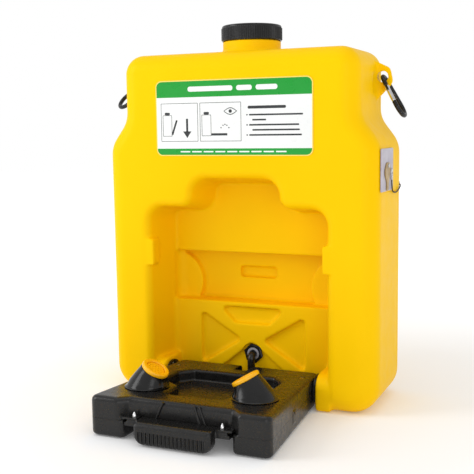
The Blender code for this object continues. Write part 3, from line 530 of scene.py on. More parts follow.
def finish(name, roughness, tone, wear=None, bumps=(), **surface):
    """A surface whose colour and roughness drift with noise.

    tone and wear are (scale, detail, low, high, first, last) for the colour and the roughness. bumps are
    (scale, detail, strength, depth); one without detail is a pattern of cells.
    """
    shader = Shader(name, roughness, **surface)
    for socket, drift in (("Base Color", tone), ("Roughness", wear)):
        if drift:
            shader.feed(socket, shader.ramp(shader.noise(*drift[:2]), *drift[2:]))
    for scale, detail, strength, depth in bumps:
        shader.bump(shader.noise(scale, detail) if detail else shader.cells(scale), strength, depth)
    return shader.material


def smooth_plastic(name, dark, light, roughness):
    """Satin injection moulding in one hue, with a slight cloudiness."""
    tone = (50.0, 3.0, 0.3, 0.7, dark, light)
    wear = (240.0, 3.0, 0.3, 0.7, roughness - 0.06, roughness + 0.08)
    return finish(name, roughness, tone, wear, [(600.0, 2.0, 0.15, 0.05)])


def metal(name, dark, light, roughness, grain):
    """Metal with drawn lines and slight staining; grain is the lines' scale along each axis."""
    shader = Shader(name, roughness, 1.0)
    shader.feed("Base Color", shader.ramp(shader.noise(90.0, 4.0), 0.35, 0.7, dark, light))
    lines = shader.noise(1.0, 3.0, shader.stretched(grain))
    shader.feed("Roughness", shader.ramp(lines, 0.3, 0.7, roughness - 0.08, roughness + 0.12))
    shader.bump(lines, 0.2, 0.03)
    return shader.material


def ink(name, dark, light):
    """Printed film: a solid hue with a slight tone drift under a clear gloss."""
    tone = (9.0, 2.0, 0.3, 0.7, dark, light)
    return finish(name, 0.3, tone, (70.0, 3.0, 0.3, 0.7, 0.24, 0.36), [(30.0, 1.0, 0.1, 0.1)])


FINISHES = {
    # Satin blow-moulded plastic: slow colour drift, a faint wave and a fine orange peel
    "yellow_polyethylene": finish(
        "yellow_polyethylene",
        0.36,
        (4.0, 3.0, 0.3, 0.7, (0.96, 0.565, 0.001), (1.0, 0.605, 0.002)),
        (60.0, 4.0, 0.3, 0.7, 0.32, 0.44),
        [(28.0, 1.0, 0.35, 0.5), (900.0, 2.0, 0.12, 0.05)],
        specular=0.04,
    ),
    # Black moulding with a fine spark-eroded grain
    "black_plastic": finish(
        "grained_black",
        0.3,
        (700.0, 3.0, 0.35, 0.75, (0.004, 0.004, 0.004), (0.012, 0.011, 0.01)),
        (90.0, 3.0, 0.3, 0.7, 0.22, 0.34),
        [(850.0, 0, 0.22, 0.08), (420.0, 3.0, 0.14, 0.08)],
        specular=0.4,
    ),
    "gloss_black": finish(
        "gloss_black",
        0.2,
        (35.0, 2.0, 0.3, 0.7, (0.004, 0.004, 0.004), (0.01, 0.01, 0.01)),
        (160.0, 4.0, 0.35, 0.7, 0.14, 0.28),
        [(55.0, 1.0, 0.15, 0.2)],
        specular=0.35,
    ),
    "rubber": finish(
        "rubber",
        0.7,
        (300.0, 4.0, 0.3, 0.7, (0.014, 0.014, 0.014), (0.03, 0.03, 0.03)),
        bumps=[(1200.0, 3.0, 0.4, 0.08)],
    ),
    # Black-coated steel that has rubbed bright in places
    "black_steel": finish(
        "black_coated_steel",
        0.32,
        (380.0, 5.0, 0.58, 0.72, (0.015, 0.015, 0.016), (0.16, 0.15, 0.14)),
        (200.0, 3.0, 0.3, 0.7, 0.25, 0.45),
        [(500.0, 3.0, 0.2, 0.05)],
        metallic=0.6,
    ),
    "cord": finish(
        "braided_cord",
        0.75,
        (45.0, 1.0, 0.42, 0.6, (0.02, 0.025, 0.02), (0.09, 0.025, 0.012)),
        bumps=[(2500.0, 2.0, 0.5, 0.08)],
    ),
    "yellow_ring": smooth_plastic("ring_yellow", (0.97, 0.46, 0.002), (1.0, 0.52, 0.003), 0.3),
    "grey_plastic": smooth_plastic("grey_plastic", (0.28, 0.28, 0.31), (0.38, 0.38, 0.42), 0.45),
    "steel": metal("bright_steel", (0.5, 0.5, 0.51), (0.72, 0.72, 0.73), 0.26, (900, 900, 60)),
    "brass": metal("worn_brass", (0.34, 0.22, 0.09), (0.62, 0.45, 0.2), 0.38, (700, 60, 60)),
}


CHROME = metal("chrome", (0.75, 0.75, 0.76), (0.86, 0.86, 0.87), 0.14, (300, 300, 300))


PLATE_GREY = smooth_plastic("plate_grey", (0.42, 0.39, 0.46), (0.54, 0.51, 0.57), 0.4)
WHITE_INK = ink("white_film", (0.82, 0.84, 0.83), (0.9, 0.91, 0.9))
GREEN_INK = ink("green_ink", (0.001, 0.3, 0.022), (0.004, 0.34, 0.034))
DARK_INK = ink("dark_ink", (0.02, 0.022, 0.025), (0.04, 0.042, 0.045))
BORDER_INK = ink("pale_yellow_border", (0.9, 0.68, 0.12), (0.98, 0.78, 0.2))


# ---------------------------------------------------------------- tank


def tank_corners():
    right = [
        (TANK_HALF_WIDTH, 0, 42),
        (TANK_HALF_WIDTH, SHOULDER_LOW, 45),
        (TANK_UPPER_HALF_WIDTH, SHOULDER_HIGH, 40),
        (TANK_UPPER_HALF_WIDTH, TANK_HEIGHT, 30),
    ]
    return mirrored(right)


def recess_corners(bottom):
    right = [
        (RECESS_HALF_WIDTH, bottom, 0),
        (RECESS_HALF_WIDTH, RECESS_TOP, 24),
        (NOTCH_HALF_WIDTH, RECESS_TOP, 18),
        (NOTCH_HALF_WIDTH, NOTCH_TOP, 26),
    ]
    return mirrored(right)


def drafted(depth):
    """How far the recess's walls have closed in at a depth."""
    return -RECESS_DRAFT * (depth - RECESS_LIP) / (PANEL_DEPTH - RECESS_LIP)


def floor_levels(depth, radius, grow):
    """The last levels of a recess cutter, which round the corner between its walls and its floor."""
    levels = []
    for c, s in arc(4):
        along = depth - radius * (1 - s)
        levels.append((FRONT_Y + along + grow, grow + drafted(along) - radius * (1 - c)))
    return levels


def recess_cutters(grow, steps, floor_radius):
    """The stepped recess that the folded tray fits, grown by a wall's thickness for the tank's inside."""
    main = [(FRONT_Y - 6, RECESS_LIP + grow)]
    main += [(FRONT_Y + RECESS_LIP * (1 - c), RECESS_LIP * (1 - s) + grow) for c, s in arc(6)]
    main += floor_levels(PANEL_DEPTH, floor_radius, grow)
    upper = [(FRONT_Y + 40, grow + drafted(40))] + floor_levels(UPPER_DEPTH, min(floor_radius, 3.0), grow)
    upper_corners = [(u * 0.997, v - 0.4, r) for u, v, r in recess_corners(BAY_LOW + 5)]
    bay_back = FRONT_Y + BAY_DEPTH + grow
    bay = box((-125 - grow, FRONT_Y + 60, BAY_LOW - grow), (125 + grow, bay_back, BAY_HIGH + grow))
    cut(bay, *[rod((side * BOSS_X, 0, BOSS_Z), BACK, -50, 50, BOSS_RADIUS - grow, 72) for side, _ in SIDES])
    wall = RECESS_HALF_WIDTH - RECESS_DRAFT - 0.5 + grow
    plan = rectangle(-wall, FRONT_Y + 60, wall, FRONT_Y + BOSS_FACE_DEPTH + grow, 0, 16)
    slot_levels = [(FRONT_Y + BAY_DEPTH - 20, grow), (FRONT_Y + SLOT_DEPTH + grow, grow)]
    return [
        stack("main", recess_corners(-30), main, facing_y, steps),
        stack("upper", upper_corners, upper, facing_y, steps),
        bay,
        stack("chamber", plan, [(BAY_LOW - grow, 0), (BAY_HIGH + grow, 0)], facing_z, steps),
        stack("slot", rectangle(-31.5, 181, 31.5, 199, 4), slot_levels, facing_y, steps),
    ]


def brace_pockets():
    """The shallow pockets that leave an X of ribs on the lower panel; the outlet's counterbore is cut with
    the tank's holes.
    """
    side = [(21, 84, 3), (88, 41, 4), (88, 125, 4)]
    upper = [(-29, 112, 4), (29, 112, 4), (53, 136, 4), (-53, 136, 4)]
    lower = [(-72, 20, 4), (72, 20, 4), (0, 79, 4)]
    levels = [(FRONT_Y + 50, 2.0), (FRONT_Y + PANEL_DEPTH, 2.0), (FRONT_Y + POCKET_DEPTH, 0)]
    return [stack("pocket", corners, levels, facing_y, 4) for corners in (upper, side, flipped(side), lower)]


def detents():
    """Square pads on the recess's side lips that hold the folded tray."""
    pads = []
    for side, _ in SIDES:
        low, high = sorted((side * 138.5, side * 160))
        pads.append(box((low, FRONT_Y + 0.5, 210), (high, FRONT_Y + 22, 251)))
    return pads


def hinge_lugs():
    """Solid lugs at the recess's lower corners that the hinge pins sit in."""
    low, high = FRONT_Y + 2, FRONT_Y + PANEL_DEPTH + 2
    corners = [(low, GAP, 8), (high, GAP, 0), (high, LUG_TOP, 0), (low, LUG_TOP, 24)]
    steps = ((LUG_INNER, -3), (LUG_INNER + 1.2, -1), (LUG_INNER + 3, 0), (LUG_OUTER, 0))
    return [stack("lug", corners, [(side * x, offset) for x, offset in steps], facing_x) for side, _ in SIDES]


def ear(side):
    """A tab at the tank's upper side with a hole for the carabiner."""
    corners = [
        (176, 454, 0),
        (190, 461, 0),
        (EAR_HOLE_X + EAR_TIP_RADIUS + 3, EAR_HOLE_Z - 9, 12),
        (EAR_HOLE_X + EAR_TIP_RADIUS - 2, EAR_HOLE_Z + 13, 9),
        (188, 521, 0),
        (176, 521, 0),
    ]
    half = EAR_THICKNESS / 2 + 0.4
    levels = edge_levels(EAR_Y - half, EAR_Y + half, 1, 1, steps=2)
    return stack("ear", corners if side > 0 else flipped(corners), levels, facing_y)


def tank_cavity():
    radius = TANK_EDGE_RADIUS - TANK_WALL
    levels = edge_levels(FRONT_Y + TANK_WALL, BACK_Y - TANK_WALL, radius, radius, steps=3)
    levels = [(along, offset - TANK_WALL) for along, offset in levels]
    cavity = stack("cavity", tank_corners(), levels, facing_y, 4)
    pockets_back = FRONT_Y + POCKET_DEPTH + TANK_WALL
    hinge_bosses = [rod((0, HINGE_Y, HINGE_Z), (side, 0, 0), 140, 177, 25, 16) for side, _ in SIDES]
    pockets = box((-96, FRONT_Y, -5), (96, pockets_back, 143))
    cut(cavity, *recess_cutters(TANK_WALL, 3, 5.0), pockets, *hinge_bosses, *detents())
    return join(cavity, rod(ORIGIN, UP, TANK_HEIGHT - 25, NECK_TOP + 5, NECK_BORE, 64))


def tank():
    levels = edge_levels(FRONT_Y, BACK_Y, TANK_EDGE_RADIUS, TANK_EDGE_RADIUS, steps=10)
    shell = stack("tank", tank_corners(), levels, facing_y, 14)
    neck = [
        (TANK_HEIGHT - 20, NECK_RADIUS + 5),
        (TANK_HEIGHT, NECK_RADIUS + 5),
        (TANK_HEIGHT + 1.5, NECK_RADIUS + 1.8),
        (TANK_HEIGHT + 5, NECK_RADIUS),
        (NECK_STEP - 4, NECK_RADIUS),
    ]
    join(shell, turned("neck", ORIGIN, UP, neck, 96), ear(1), ear(-1))
    cut(shell, *recess_cutters(0, 10, 8.0))
    scoops = [ball((side * 199, EAR_Y - 16, EAR_HOLE_Z - 8), (12, 15, 24)) for side, _ in SIDES]
    cut(shell, *brace_pockets(), *scoops)
    join(shell, *detents(), *hinge_lugs())
    soften(shell, 2.0, 7, 0.16)
    finish_neck = [
        (TANK_HEIGHT + 8, NECK_RADIUS - 3),
        (TANK_HEIGHT + 8, NECK_RADIUS),
        (NECK_STEP - 0.8, NECK_RADIUS),
        (NECK_STEP, NECK_RADIUS - 0.8),
        (NECK_STEP, THREAD_RADIUS),
        (NECK_TOP - 1, THREAD_RADIUS),
        (NECK_TOP, THREAD_RADIUS - 1),
    ]
    join(shell, turned("finish_neck", ORIGIN, UP, finish_neck, 96))
    holes = [
        rod((0, FRONT_Y, OUTLET_Z), BACK, 60, POCKET_DEPTH, 18.5, 48),
        rod((0, FRONT_Y, OUTLET_Z), BACK, 60, 95, 10.3, 48),
    ]
    for side, _ in SIDES:
        stop = (0, HINGE_Y, HINGE_Z + STOP_CIRCLE)
        holes.append(rod((0, HINGE_Y, HINGE_Z), (side, 0, 0), 120, 170, PIN_RADIUS + GAP, 32))
        holes.append(rod(stop, (side, 0, 0), 120, 168, STOP_PIN_RADIUS + GAP, 24))
        holes.append(rod((side * EAR_HOLE_X, EAR_Y, EAR_HOLE_Z), BACK, -12, 12, EAR_HOLE_RADIUS, 40))
    cut(shell, *holes)
    cut(shell, tank_cavity())
    place_piece(shade(shell), "tank", "yellow_polyethylene", "tank_shell")


def neck_thread():
    """A rounded thread of four turns round the filler neck."""
    pitch, turns, per_turn = 3.6, 4, 72
    sections = []
    for k in range(turns * per_turn + 1):
        share = k / (turns * per_turn)
        height = min(1.0, share * 10, (1 - share) * 10)
        angle = 2 * math.pi * k / per_turn
        z = NECK_STEP + 1.6 + pitch * k / per_turn
        section = []
        for lift, out in ((-1.3, -0.6), (-0.5, 1.9), (0.5, 1.9), (1.3, -0.6)):
            radius = THREAD_RADIUS + out * height - 0.1
            lifted = z + lift * max(height, 0.3)
            section.append((radius * math.cos(angle), radius * math.sin(angle), lifted))
        sections.append(section)
    place_piece(shade(mesh_from("neck_thread", sections)), "tank", "yellow_polyethylene")


# ---------------------------------------------------------------- label


def label_layer(name, corners, level, material, steps=8):
    """A printed layer: a thin film whose face lies level tenths of a millimetre above the label's sheet."""
    back = FRONT_Y - 0.9 - (level - 1) * 0.1
    film = stack(name, corners, [(back, 0), (back - 0.1, 0)], facing_y, steps)
    return place_piece(film, "tank", "label", material=material)


def bar(name, x, z, width, height, level=2, material=DARK_INK):
    """A printed bar with round ends, whose left end is at x and whose middle is at z."""
    corners = rectangle(x, z - height / 2, x + width, z + height / 2, height * 0.45)
    label_layer(name, corners, level, material, 4)


def stroke(name, a, b, width):
    """A thin straight line from a to b."""
    a, b = Vector(a), Vector(b)
    side = (b - a).normalized() * width / 2
    across = Vector((side.y, -side.x))
    corners = [(p.x, p.y, 0) for p in (a + across, b + across, b - across, a - across)]
    label_layer(name, corners, 2, DARK_INK)


def label():
    """A generic instruction label: green bands, two simple pictures of the station, and bars for words."""
    corners = rectangle(-LABEL_HALF_WIDTH, LABEL_LOW, LABEL_HALF_WIDTH, LABEL_HIGH, LABEL_CORNER)
    levels = [(FRONT_Y - GAP, 0), (FRONT_Y - 0.8, 0), (FRONT_Y - 0.9, -0.1)]
    sheet = shade(stack("label_sheet", corners, levels, facing_y, 12))
    place_piece(sheet, "tank", "label", "instruction_label", material=BORDER_INK)
    right = LABEL_HALF_WIDTH - LABEL_BORDER
    low, high = LABEL_LOW + LABEL_BORDER, LABEL_HIGH - LABEL_BORDER
    header, footer = high - 24.0, low + 9.6
    radius = 8.6
    label_layer("label_field", rectangle(-right, footer, right, header), 1, WHITE_INK)
    label_layer("label_header", rectangle(-right, header, right, high, 0, radius), 1, GREEN_INK, 12)
    label_layer("label_footer", rectangle(-right, low, right, footer, radius, 0), 1, GREEN_INK, 12)
    for k, (x, width) in enumerate(((-72, 74), (8, 25), (39, 34))):
        bar(f"heading_bar_{k}", x, (header + high) / 2, width, 7.5, material=WHITE_INK)
    for k in range(9):
        bar(f"footer_bar_{k}", -86 + 19.5 * k, (low + footer) / 2, 16.5, 2.0, material=WHITE_INK)
    label_words(header)
    for k, (picture_left, picture_right) in enumerate(((-118, -56), (-52, 15))):
        label_picture(k, picture_left, picture_right, footer + 11, header - 9)


def label_words(header):
    """Bars that stand for a heading and three numbered lines of instructions."""
    bar("words_heading", 26, header - 17, 60, 4.2)
    first_line, wrapped_line = 28, 33
    rows = ((first_line, 84), (wrapped_line, 22), (first_line, 78), (wrapped_line, 74), (first_line, 82))
    for k, (x, width) in enumerate(rows):
        z = header - 28 - 7.4 * k
        bar(f"words_row_{k}", x, z, width, 2.4)
        if x == first_line:
            bar(f"words_dot_{k}", 23.6, z, 2.2, 2.2)


def label_picture(k, left, right, low, high):
    """An outlined picture of the station from its side: the tray's swing, then the open tray's spray."""
    station = rectangle(left + 3, low + 8, left + 18, high - 18)
    for s, shape in enumerate((rectangle(left, low, right, high), station)):
        for i, start in enumerate(shape):
            stroke(f"picture_{k}_line_{s}_{i}", start[:2], shape[(i + 1) % 4][:2], 0.7)
    bar(f"picture_{k}_cap", left + 6, high - 15.5, 9, 4)
    tray_root = Vector((left + 18.6, low + 10))
    if k == 0:
        stroke("picture_0_tray", tray_root, tray_root + Vector((8, 22)), 3)
        x, y = right - 18, low + 10
        arrow_head = [(x - 7, y + 5, 0), (x, y - 5, 0), (x + 7, y + 5, 0)]
        label_layer("picture_0_arrow_head", arrow_head, 2, DARK_INK)
        stroke("picture_0_arrow", (x, y + 24), (x, y + 4), 3.4)
        return
    stroke("picture_1_tray", tray_root, tray_root + Vector((26, 0)), 3.4)
    for j in range(5):
        drop = tray_root + Vector((15 + 3.2 * j, 5 + 4.4 * math.sin(math.pi * (j + 1) / 6) * 2.2))
        bar(f"picture_1_drop_{j}", drop.x, drop.y, 1.9, 1.9)
    x, y = right - 17, high - 13
    lids = []
    for sign in (1, -1):
        for j in range(9):
            reach = -11 + 22 * (j / 9)
            lids.append((-sign * reach, sign * 5.5 * math.cos(math.pi * reach / 22)))
    for name, wide, tall, level, material in (
        ("eye", 1.0, 1.0, 2, DARK_INK),
        ("eye_white", 0.86, 0.78, 3, WHITE_INK),
    ):
        label_layer("picture_1_" + name, [(x + u * wide, y + v * tall, 0) for u, v in lids], level, material)
    bar("picture_1_pupil", x - 2.6, y, 5.2, 5.2, level=4)


# ---------------------------------------------------------------- filler cap


def ribbed_cap():
    """A screw cap with fine grip ribs, a rolled top edge and a shallow dished top."""
    ceiling = CAP_TOP - 3.5
    levels = [(CAP_LOW, -1.6, 0), (CAP_LOW + 0.5, -1.1, 0), (CAP_LOW + 1.2, -1.1, 0)]
    levels += [(CAP_LOW + 2.2, -1.1, 1), (CAP_TOP - 4.6, -1.1, 1), (CAP_TOP - 3.6, -1.1, 0)]
    levels += [(CAP_TOP - 2.6 + 2.6 * s, -1.1 - 2.6 * (1 - c), 0) for c, s in arc(6)]
    for depth, offset in ((0.1, -8.5), (0.9, -10), (1.1, -12), (1.1, -40), (1.1, 1.6 - CAP_RADIUS)):
        levels.append((CAP_TOP - depth, offset, 0))
    levels += [(ceiling, 1.6 - CAP_RADIUS, 0), (ceiling, -3, 0), (CAP_LOW + 0.6, -3, 0), (CAP_LOW, -2.5, 0)]
    rib = (0.0, 0.75, 1.0, 1.0, 0.75, 0.0)
    round_trip = full_turn(CAP_RIBS * len(rib))
    sections = []
    for z, offset, ribbed in levels:
        ring = []
        for k, (c, s) in enumerate(round_trip):
            radius = CAP_RADIUS + offset + ribbed * 1.1 * rib[k % len(rib)]
            ring.append((radius * c, radius * s, z))
        sections.append(ring)
    cap = shade(mesh_from("ribbed_cap", sections, closed=True), 50)
    place_piece(cap, "cap", "gloss_black", "cap")
    gasket = ring_profile(NECK_TOP + GAP, ceiling - GAP, 36.5, 44)
    ring = ("cap_gasket_ring", "cap_gasket", "cap_carrier", "rubber", ORIGIN, UP)
    turned_piece(*ring, gasket, 96, chamfer=0.5, closed=True)
    vent = [
        (ceiling - 2.2, 6.4),
        (ceiling - 1.9, 7.2),
        (ceiling - 1.2, 8),
        (ceiling - GAP, 7),
        (ceiling - GAP, 1.2),
        (CAP_TOP - 0.9, 1.2),
        (CAP_TOP - 0.6, 0.8),
    ]
    turned_piece("vent_plug", "cap_vent", "cap", "rubber", ORIGIN, UP, vent, 32)


# ---------------------------------------------------------------- tray


def slope_share(y):
    return (y - TRAY_FRONT) / (TRAY_REAR - TRAY_FRONT)


def tray_top(y, nominal=TRAY_TOP):
    """Height of the sloped surface that lies at the nominal height at the tray's front."""
    return PARTING + (nominal - PARTING) * (1 - (1 - TRAY_REAR_SCALE) * slope_share(y))


def sloped(obj):
    """Lowers the tray's top towards the hinge, leaving the parting plane where it is."""
    for vertex in obj.data.vertices:
        x, y, z = vertex.co / MM
        if z > PARTING:
            vertex.co.z = tray_top(y, z) * MM
    return obj


def side_x(y):
    """The tray's half-width at a given y."""
    return TRAY_FRONT_HALF_WIDTH + (TRAY_REAR_HALF_WIDTH - TRAY_FRONT_HALF_WIDTH) * slope_share(y)


def tray_corners(notch_half, notch_top_half, notch_floor):
    right = [
        (notch_half, notch_floor, 5),
        (notch_top_half, TRAY_FRONT, 8),
        (TRAY_FRONT_HALF_WIDTH, TRAY_FRONT, 11),
        (TRAY_REAR_HALF_WIDTH, TRAY_REAR, 10),
    ]
    return mirrored(right)


def basin_cutter(levels, steps):
    right = [
        (46, FRONT_Y - 150, 10),
        (46, FRONT_Y - 103, 10),
        (85, FRONT_Y - 74, 10),
        (85, FRONT_Y - 28, 8),
        (66, FRONT_Y - 7, 8),
    ]
    return stack("basin", mirrored(right), levels, facing_z, steps)


def heel_cutter(radius, steps):
    """Everything outside the round heel that turns clear of the floor."""
    outline = [(HINGE_Y + radius * c, HINGE_Z - radius * s) for c, s in arc(steps)]
    outline += [(HINGE_Y, -20), (HINGE_Y + 60, -20), (HINGE_Y + 60, HINGE_Z)]
    return mesh_from("heel", [[(x, y, z) for y, z in outline] for x in (-150, 150)])


def screw_places():
    """(x, y) of the four screws that hold the tray's halves together, rear pair first."""
    return [(side * x, FRONT_Y + y) for x, y in ((104, 10), (112, -172)) for side in (-1, 1)]


def notch_details():
    """A trapezoid outlined by thin ribs on the front notch's floor, with a plain rib on one side of it."""
    low, high = 30, 56
    runs = ((-25, high, -37, low), (-37, low, 30, low), (30, low, 22, high), (38, low, 29, high))
    ribs = []
    for x0, z0, x1, z1 in runs:
        start, end = Vector((x0, NOTCH_FLOOR, z0)), Vector((x1, NOTCH_FLOOR, z1))
        ribs.append(rod(start, end - start, 0, (end - start).length, 1.9, 16))
    return ribs


CATCH_Y = TRAY_FRONT + 0.43 * (TRAY_REAR - TRAY_FRONT)


def side_catches():
    """A small raised plate on each side, across the parting line."""
    x = side_x(CATCH_Y)
    corners = rectangle(CATCH_Y - 7, 15, CATCH_Y + 7, 33, 1.5)
    steps = ((x - 4, 0), (x + 0.5, 0), (x + 1.3, -0.7))
    return [stack("catch", corners, [(side * a, b) for a, b in steps], facing_x, 3) for side, _ in SIDES]


def tray_body():
    """The closed outer form of the whole tray, softened as one so that the halves meet cleanly."""
    levels = edge_levels(PARTING - 2, TRAY_TOP, 0, 8)
    upper = stack("tray_body", tray_corners(77, 91, NOTCH_FLOOR), levels, facing_z)
    rim = [
        (BASIN_FLOOR + 4 * (1 - math.sin(a)), -4 * (1 - math.cos(a)) - 1) for a in (1.57, 1.2, 0.8, 0.4, 0)
    ]
    rim += [(TRAY_TOP - 5, 0)]
    rim += [(TRAY_TOP - 5 * math.cos(a), 5 * (1 - math.cos(math.pi / 2 - a))) for a in (0.4, 0.8, 1.2)]
    rim += [(TRAY_TOP, 5), (TRAY_TOP + 6, 5.5)]
    cut(sloped(upper), sloped(basin_cutter(rim, 6)))
    levels = edge_levels(TRAY_LOW, PARTING + 0.5, 5, 0)
    lower = stack("lower", tray_corners(79.5, 80.5, GRIP_BAY_FLOOR), levels, facing_z)
    cut(lower, heel_cutter(BARREL_RADIUS, 16))
    join(upper, lower, *side_catches())
    return soften(upper, 1.25, 3, 0.22)


def hollow(corners, levels):
    return stack("hollow", corners, levels, facing_z, 3)


def tray_upper(body):
    upper = copy_of(body, "tray_top_moulding")
    cut(upper, box((-200, -400, -50), (200, 50, PARTING + GAP / 2)))
    ceiling = TRAY_TOP - TRAY_WALL
    levels = [(PARTING - 3, -TRAY_WALL), (ceiling - 3, -TRAY_WALL), (ceiling, -7)]
    inside = sloped(hollow(tray_corners(77, 91, NOTCH_FLOOR), levels))
    bowl = [(BASIN_FLOOR - 3, -1), (BASIN_FLOOR, 1), (TRAY_TOP + 5, 3)]
    posts = [rod((x, y, 0), UP, PARTING - 5, TRAY_TOP, 5.5, 24) for x, y in screw_places()]
    cut(inside, sloped(basin_cutter(bowl, 3)), *posts)
    bearing = rod((0, HINGE_Y, HINGE_Z), ACROSS, -140, 140, BEARING_RADIUS, 40)
    cut(upper, inside, bearing, box((-11, FRONT_Y + 16, 20), (11, FRONT_Y + 70, 70)))
    tabs, bores = [], []
    screw_x, screw_y = HANDLE_SCREW
    catch_x = side_x(CATCH_Y)
    for side, _ in SIDES:
        low, high = sorted((side * 58.5, side * 82))
        tabs.append(box((low, TRAY_FRONT - 1, 31), (high, NOTCH_FLOOR + 2, 33.5)))
        bores.append(rod((0, CATCH_Y, 29.5), (side, 0, 0), catch_x - 0.6, catch_x + 5, 1.7, 20))
        bores.append(rod((side * screw_x, screw_y, 0), UP, 20, 40, 2.2, 20))
        bores.append(rod((side * NOZZLE_X, NOZZLE_Y, 0), UP, 35, 70, 9.4, 40))
    for k, (x, y) in enumerate(screw_places()):
        bores.append(rod((x, y, 0), UP, 20, 70 if k < 2 else 44, SCREW_BORE, 20))
        if k < 2:
            top = tray_top(y)
            bores.append(rod((x, y, 0), UP, top - 3.4, top + 5, SCREW_HEAD_BORE, 32))
    join(upper, *tabs, *notch_details())
    cut(upper, *bores)
    place_piece(shade(upper), "tray", "black_plastic", "tray_upper_shell")


def tray_lower(body):
    lower = copy_of(body, "tray_bottom_moulding")
    high = PARTING - GAP / 2
    cut(lower, box((-200, -400, high), (200, 50, 90)))
    levels = [(TRAY_LOW + TRAY_WALL, -6), (TRAY_LOW + 7, -TRAY_WALL), (high + 3, -TRAY_WALL)]
    inside = hollow(tray_corners(79.5, 80.5, GRIP_BAY_FLOOR), levels)
    posts = [rod((x, y, 0), UP, -5, PARTING + 5, 5.5, 24) for x, y in screw_places()]
    cut(inside, heel_cutter(BARREL_RADIUS - TRAY_WALL, 8), *posts)
    bearing = rod((0, HINGE_Y, HINGE_Z), ACROSS, -140, 140, BEARING_RADIUS, 40)
    cut(lower, inside, bearing, box((-11, FRONT_Y + 44, 14), (11, FRONT_Y + 70, 40)))
    bores = []
    for k, (x, y) in enumerate(screw_places()):
        bores.append(rod((x, y, 0), UP, TRAY_LOW + 8 if k < 2 else -5, 40, SCREW_BORE, 20))
        if k >= 2:
            bores.append(rod((x, y, 0), UP, -5, TRAY_LOW + 3.4, SCREW_HEAD_BORE, 32))
    cut(lower, *bores)
    place_piece(shade(lower), "tray", "black_plastic", "tray_lower_shell")


def handle():
    """The pull grip under the tray's front edge: a flange and a rounded finger lip with vertical ribs."""
    grip_front = TRAY_FRONT - 17
    flange = rectangle(-78.8, NOTCH_FLOOR - 6, 78.8, GRIP_BAY_FLOOR - GAP, 0, 6)
    grip = stack("grip", flange, [(21, 0), (PARTING - 0.4, 0)], facing_z)
    levels = edge_levels(grip_front, grip_front + 18, 7, 0)
    lip = stack("lip", rectangle(-58, 2, 58, 33, 15, 5), levels, facing_y)
    ears = box((-78.6, TRAY_FRONT - 1, 21.5), (78.6, NOTCH_FLOOR - GAP, 26.7))
    ear_tops = box((-75, TRAY_FRONT - 0.5, 22), (75, NOTCH_FLOOR - 2.5, 30.7))
    top = box((-57.6, grip_front + 8, 21), (57.6, NOTCH_FLOOR - GAP - 0.3, 32.6))
    join(grip, ears, ear_tops, top, lip)
    soften(grip, 0.9, 3, 0.3)
    cuts = []
    for k in range(GRIP_GROOVES):
        x = -47 + 94 * k / (GRIP_GROOVES - 1)
        cuts.append(rod((x, grip_front + 0.3, 0), UP, -2, 21.5, 2.2, 16))
    screw_x, screw_y = HANDLE_SCREW
    for side, word in SIDES:
        place = (side * screw_x, screw_y, 0)
        cuts.append(rod(place, UP, 15, 35, 2.1, 20))
        spike = [(22.5, 1.8), (33.8, 1.8), (33.8, 2.9), (35.2, 2.9)]
        spike += [(36.6, 2.4), (38.2, 1.7), (39.8, 0.8), (40.5, 0.2)]
        stud = shade(turned("chrome_stud_" + word, place, UP, spike, 32), 60)
        place_piece(stud, "tray", "steel", "handle_screw_" + word, material=CHROME)
    cut(grip, *cuts)
    place_piece(shade(grip), "tray", "black_plastic", "handle")


def tray_screws():
    """Cross-slot screws: the rear pair from above, the front pair from below."""
    for k, (x, y) in enumerate(screw_places()):
        upward = k < 2
        head = tray_top(y) - 0.4 if upward else TRAY_LOW + 0.4
        way = -1 if upward else 1
        shape = [(head, 2.6), (head + way * 0.4, 3.6), (head + way, 4.0), (head + way * 2.6, 4.0)]
        shape += [(head + way * 2.6, 1.7), (12 if upward else 42, 1.7)]
        word = ("rear_" if upward else "front_") + ("left" if x < 0 else "right")
        screw = turned("screw_" + word, (x, y, 0), UP, shape, 32)
        for long_x, long_y in ((2.2, 0.45), (0.45, 2.2)):
            low, high = sorted((head - way * 1.0, head + way * 1.3))
            cut(screw, box((x - long_x, y - long_y, low), (x + long_x, y + long_y, high)))
        place_piece(shade(screw), "tray", "steel", "tray_screw_" + word)


# ---------------------------------------------------------------- nozzles


def circle(centre, axis, radius, sides=NOZZLE_SIDES):
    """Points round an axis that lies in the XZ plane."""
    back = Vector(BACK)
    across = back.cross(axis)
    return [centre + across * radius * c + back * radius * s for c, s in full_turn(sides)]


